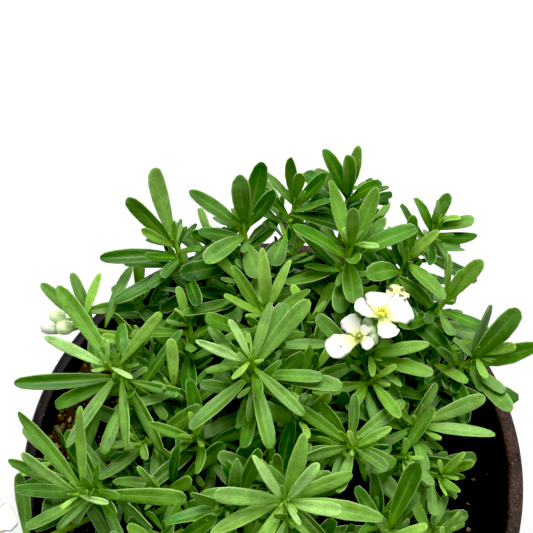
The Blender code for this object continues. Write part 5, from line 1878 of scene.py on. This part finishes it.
def grow_stem(number, stem, shoots):
    """One rooted stem with its forks, stalks and leaves."""
    looks = bpy.context.scene.candytuft_leaf
    sprig, draw = Sprig(), random.Random(STEM_SEED + number)
    for shoot in shoots:
        if shoot.node is not stem:
            continue
        path = [shoot.curve.at(step / PATH_STEPS) for step in range(PATH_STEPS + 1)]
        if shoot is stem:
            path.insert(0, shoot.curve.points[0])
        path.append(path[-1] + shoot.axis * TIP_POINT)
        tip = len(path) - 2
        radii = [shoot.foot_radius + (TIP_RADIUS - shoot.foot_radius) * i / tip for i in range(tip + 1)]
        sprig.stalk(path, radii + [POINT_SHARE * TIP_RADIUS], looks.stem)
        for stalk in shoot.stalks:
            points = [stalk.at(step / STALK_STEPS) for step in range(STALK_STEPS + 1)]
            radii = [STALK_RADIUS * STALK_SLIM] * STALK_STEPS + [STALK_RADIUS * STALK_HEAD]
            sprig.stalk(points, radii, looks.stem)
        for start, end in shoot.twigs:
            radii = [TIP_RADIUS * share for share in TWIG_SHARES]
            sprig.stalk([start, start.lerp(end, 0.5), end], radii, looks.stem)
        add_blades(sprig, shoot, draw)
    grow_piece(sprig, f"leafy_stem_{number:02d}", f"stem_{number:02d}_{stem.name}")


def grow_floret(number, centre, axis, petals, wilt, spent):
    """One floret: its petals, sepals, ovary and stamens."""
    looks, leaf = bpy.context.scene.candytuft_flower, bpy.context.scene.candytuft_leaf
    sprig, draw = Sprig(), random.Random(FLORET_SEED + number)
    reach = SPENT_REACH if spent else 1.0
    size = min(1.0, max(petal.length for petal in petals) / FULL_PETAL)
    for petal in petals:
        sprig.blade(PETAL_KIND, petal, looks.thickness, looks.petal, channel=PETAL_CHANNEL,
                    broader=PETAL_SPREAD, wilt=wilt, ripple=PETAL_RIPPLE + WILT_RIPPLE * wilt,
                    twist=draw.uniform(-PETAL_TWIST, PETAL_TWIST), phase=draw.uniform(*PHASES),
                    fray=draw.uniform(*PETAL_FRAY) + WILT_FRAY * wilt, blunt=draw.uniform(*PETAL_BLUNTNESS))
    for k in range(SEPALS):
        way = around(axis, SEPAL_OPENING, radians(360 / SEPALS * (k + 0.5)))
        foot = centre - axis * HEART_LENGTH * SEPAL_FOOT
        sepal = Blade(foot, way, axis, SEPAL_LENGTH * size, SEPAL_HALF * size, PETAL_THICKNESS,
                      radians(SEPAL_CURL), 0.0, leaf_outline, LOW_LEAF_STATIONS)
        sprig.blade(YOUNG_KIND, sepal, SEPAL_THICKNESS, mixed_colour(leaf.young, looks.bud, 0.5))
    sprig.egg(BUD_KIND, centre - axis * HEART_LENGTH * 0.5, axis, HEART_LENGTH * OVARY_LENGTH,
              HEART_LENGTH * OVARY_HALF, mixed_colour(leaf.young, looks.claw, 0.5))
    for k in range(STAMENS):
        spin = radians(360 / STAMENS * k + draw.uniform(-STAMEN_SWAY, STAMEN_SWAY))
        way = around(axis, STAMEN_OPENINGS[k % 2], spin)
        tip = centre + way * FILAMENT * size * reach
        sprig.stalk([centre, centre.lerp(tip, 0.5), tip], [FILAMENT_RADIUS] * 3, looks.claw)
        lean = around(axis, draw.uniform(*ANTHER_LEAN), draw.uniform(0, 2 * pi))
        sprig.egg(ANTHER_KIND, tip - lean * ANTHER_LENGTH * ANTHER_HOLD * reach, lean,
                  ANTHER_LENGTH * size * reach, ANTHER_HALF * size * reach,
                  looks.spent if spent else looks.anther)
    grow_piece(sprig, f"flower_{number:02d}", f"floret_{number:02d}")


def grow_buds(number, cluster):
    """One cluster of closed buds."""
    looks = bpy.context.scene.candytuft_flower
    sprig, draw = Sprig(), random.Random(BUD_SEED + number)
    for centre, way, length in cluster:
        white = draw.uniform(*BUD_WHITE) + PALE_BUD_WHITE * (centre.x < PALE_BUDS_FROM)
        sprig.egg(BUD_KIND, centre - way * length / 2, way, length, BUD_BREADTH * length * BUD_SLIM,
                  mixed_colour(looks.bud, looks.petal, white))
    grow_piece(sprig, f"bud_cluster_{number:02d}", f"buds_{number:02d}")


def remove_shelves():
    """Takes away the shapes that the trees repeated, once every piece is grown."""
    for shelf in (plant_shapes(), crumb_shapes()):
        for shape in list(shelf.objects):
            bpy.data.objects.remove(shape)
        bpy.data.collections.remove(shelf)


def make_floor(colour):
    """A wide pale floor."""
    shape = bmesh.new()
    bmesh.ops.create_grid(shape, x_segments=8, y_segments=8, size=FLOOR_REACH)
    floor = put("floor", mesh_from("floor", shape))
    paint = Finish("floor paint", 0.8)
    speckle = paint.noise(60 * MM, 2.0).spread(0.2, 0.8, 0.99, 1.0)
    floor.data.materials.append(paint.done(paint.colour(colour).scaled(speckle)))


def make_lights(looks):
    """Even light all round, and two soft lamps aimed at the rim."""
    world = bpy.data.worlds.new("studio")
    world.use_nodes = True
    world.node_tree.nodes["Background"].inputs["Color"].default_value = (1, 1, 1, 1)
    world.node_tree.nodes["Background"].inputs["Strength"].default_value = looks.sky
    bpy.context.scene.world = world
    for name, place, width in LAMPS:
        lamp = bpy.data.lights.new(name, "AREA")
        lamp.energy, lamp.size = getattr(looks, name), width
        holder = put(name, lamp)
        holder.location = place
        aim = Vector((0, 0, RIM_HEIGHT)) - Vector(place)
        holder.rotation_euler = aim.to_track_quat("-Z", "Y").to_euler()


def make_camera(looks):
    """The camera, which looks down on the plant from -Y."""
    camera = bpy.data.cameras.new("camera")
    camera.sensor_width, camera.lens, camera.clip_start = 36, looks.lens, 10 * MM
    holder = put("camera", camera)
    back = Vector((0, -cos(looks.elevation), sin(looks.elevation)))
    holder.location = Vector(looks.look) + back * looks.distance
    holder.rotation_euler = (pi / 2 - looks.elevation, 0, 0)
    bpy.context.scene.camera = holder


def make_stage():
    """The floor, the light, the camera and the picture's black level."""
    looks = bpy.context.scene.candytuft_stage
    make_floor(looks.floor)
    make_lights(looks)
    make_camera(looks)
    view = bpy.context.scene.view_settings
    view.view_transform = "Standard"
    view.use_curve_mapping = True
    view.curve_mapping.black_level = (looks.black,) * 3
    view.curve_mapping.update()


# The operators, the panel and the run
class CANDYTUFT_OT_pot(bpy.types.Operator):
    """Make the nursery pot"""
    bl_idname = "candytuft.pot"
    bl_label = "Pot"

    def execute(self, context):
        make_pot_piece()
        return {"FINISHED"}


class CANDYTUFT_OT_mix(bpy.types.Operator):
    """Make the potting mix with its crumbs"""
    bl_idname = "candytuft.mix"
    bl_label = "Potting mix"

    def execute(self, context):
        make_mix_piece()
        return {"FINISHED"}


class CANDYTUFT_OT_stems(bpy.types.Operator):
    """Grow the leafy stems"""
    bl_idname = "candytuft.stems"
    bl_label = "Leafy stems"

    def execute(self, context):
        shoots = plant()[0]
        for number, stem in enumerate([s for s in shoots if not s.parent], 1):
            grow_stem(number, stem, shoots)
        return {"FINISHED"}


class CANDYTUFT_OT_florets(bpy.types.Operator):
    """Grow the florets"""
    bl_idname = "candytuft.florets"
    bl_label = "Florets"

    def execute(self, context):
        for number, floret in enumerate(plant()[1], 1):
            grow_floret(number, *floret, wilt=FLORET_WILT.get(number, 0.0), spent=number in SPENT_FLORETS)
        return {"FINISHED"}


class CANDYTUFT_OT_buds(bpy.types.Operator):
    """Grow the clusters of buds"""
    bl_idname = "candytuft.buds"
    bl_label = "Buds"

    def execute(self, context):
        for number, cluster in enumerate(plant()[2], 1):
            grow_buds(number, cluster)
        return {"FINISHED"}


class CANDYTUFT_OT_stage(bpy.types.Operator):
    """Clear away the repeated shapes and set the floor, the light and the camera"""
    bl_idname = "candytuft.stage"
    bl_label = "Stage"

    def execute(self, context):
        remove_shelves()
        make_stage()
        return {"FINISHED"}


# The steps in the order that they run in, each with the settings that are listed under it
STEPS = ((CANDYTUFT_OT_pot, "candytuft_pot"), (CANDYTUFT_OT_mix, "candytuft_mix"),
         (CANDYTUFT_OT_stems, "candytuft_leaf"), (CANDYTUFT_OT_florets, None),
         (CANDYTUFT_OT_buds, "candytuft_flower"), (CANDYTUFT_OT_stage, "candytuft_stage"))
GROUPS = {"candytuft_pot": PotSettings, "candytuft_mix": MixSettings, "candytuft_leaf": LeafSettings,
          "candytuft_flower": FlowerSettings, "candytuft_stage": StageSettings}


class CANDYTUFT_PT_panel(bpy.types.Panel):
    """The steps with their settings, in the 3D view's sidebar"""
    bl_label = "Potted candytuft"
    bl_idname = "CANDYTUFT_PT_panel"
    bl_space_type = "VIEW_3D"
    bl_region_type = "UI"
    bl_category = "Candytuft"

    def draw(self, context):
        for operator, group in STEPS:
            box = self.layout.box()
            box.operator(operator.bl_idname)
            for name in GROUPS[group].__annotations__ if group else ():
                box.prop(getattr(context.scene, group), name)


def register():
    """Registers the settings, the operators and the panel."""
    for name, group in GROUPS.items():
        bpy.utils.register_class(group)
        setattr(bpy.types.Scene, name, bpy.props.PointerProperty(type=group))
    for operator, _ in STEPS:
        bpy.utils.register_class(operator)
    bpy.utils.register_class(CANDYTUFT_PT_panel)


def unregister():
    """Takes back all that was registered, in the other order."""
    bpy.utils.unregister_class(CANDYTUFT_PT_panel)
    for operator, _ in reversed(STEPS):
        bpy.utils.unregister_class(operator)
    for name, group in GROUPS.items():
        delattr(bpy.types.Scene, name)
        bpy.utils.unregister_class(group)


def main():
    """Runs every step in order."""
    register()
    for operator, _ in STEPS:
        getattr(bpy.ops.candytuft, operator.bl_idname.split(".")[1])()


if __name__ == "__main__":
    main()
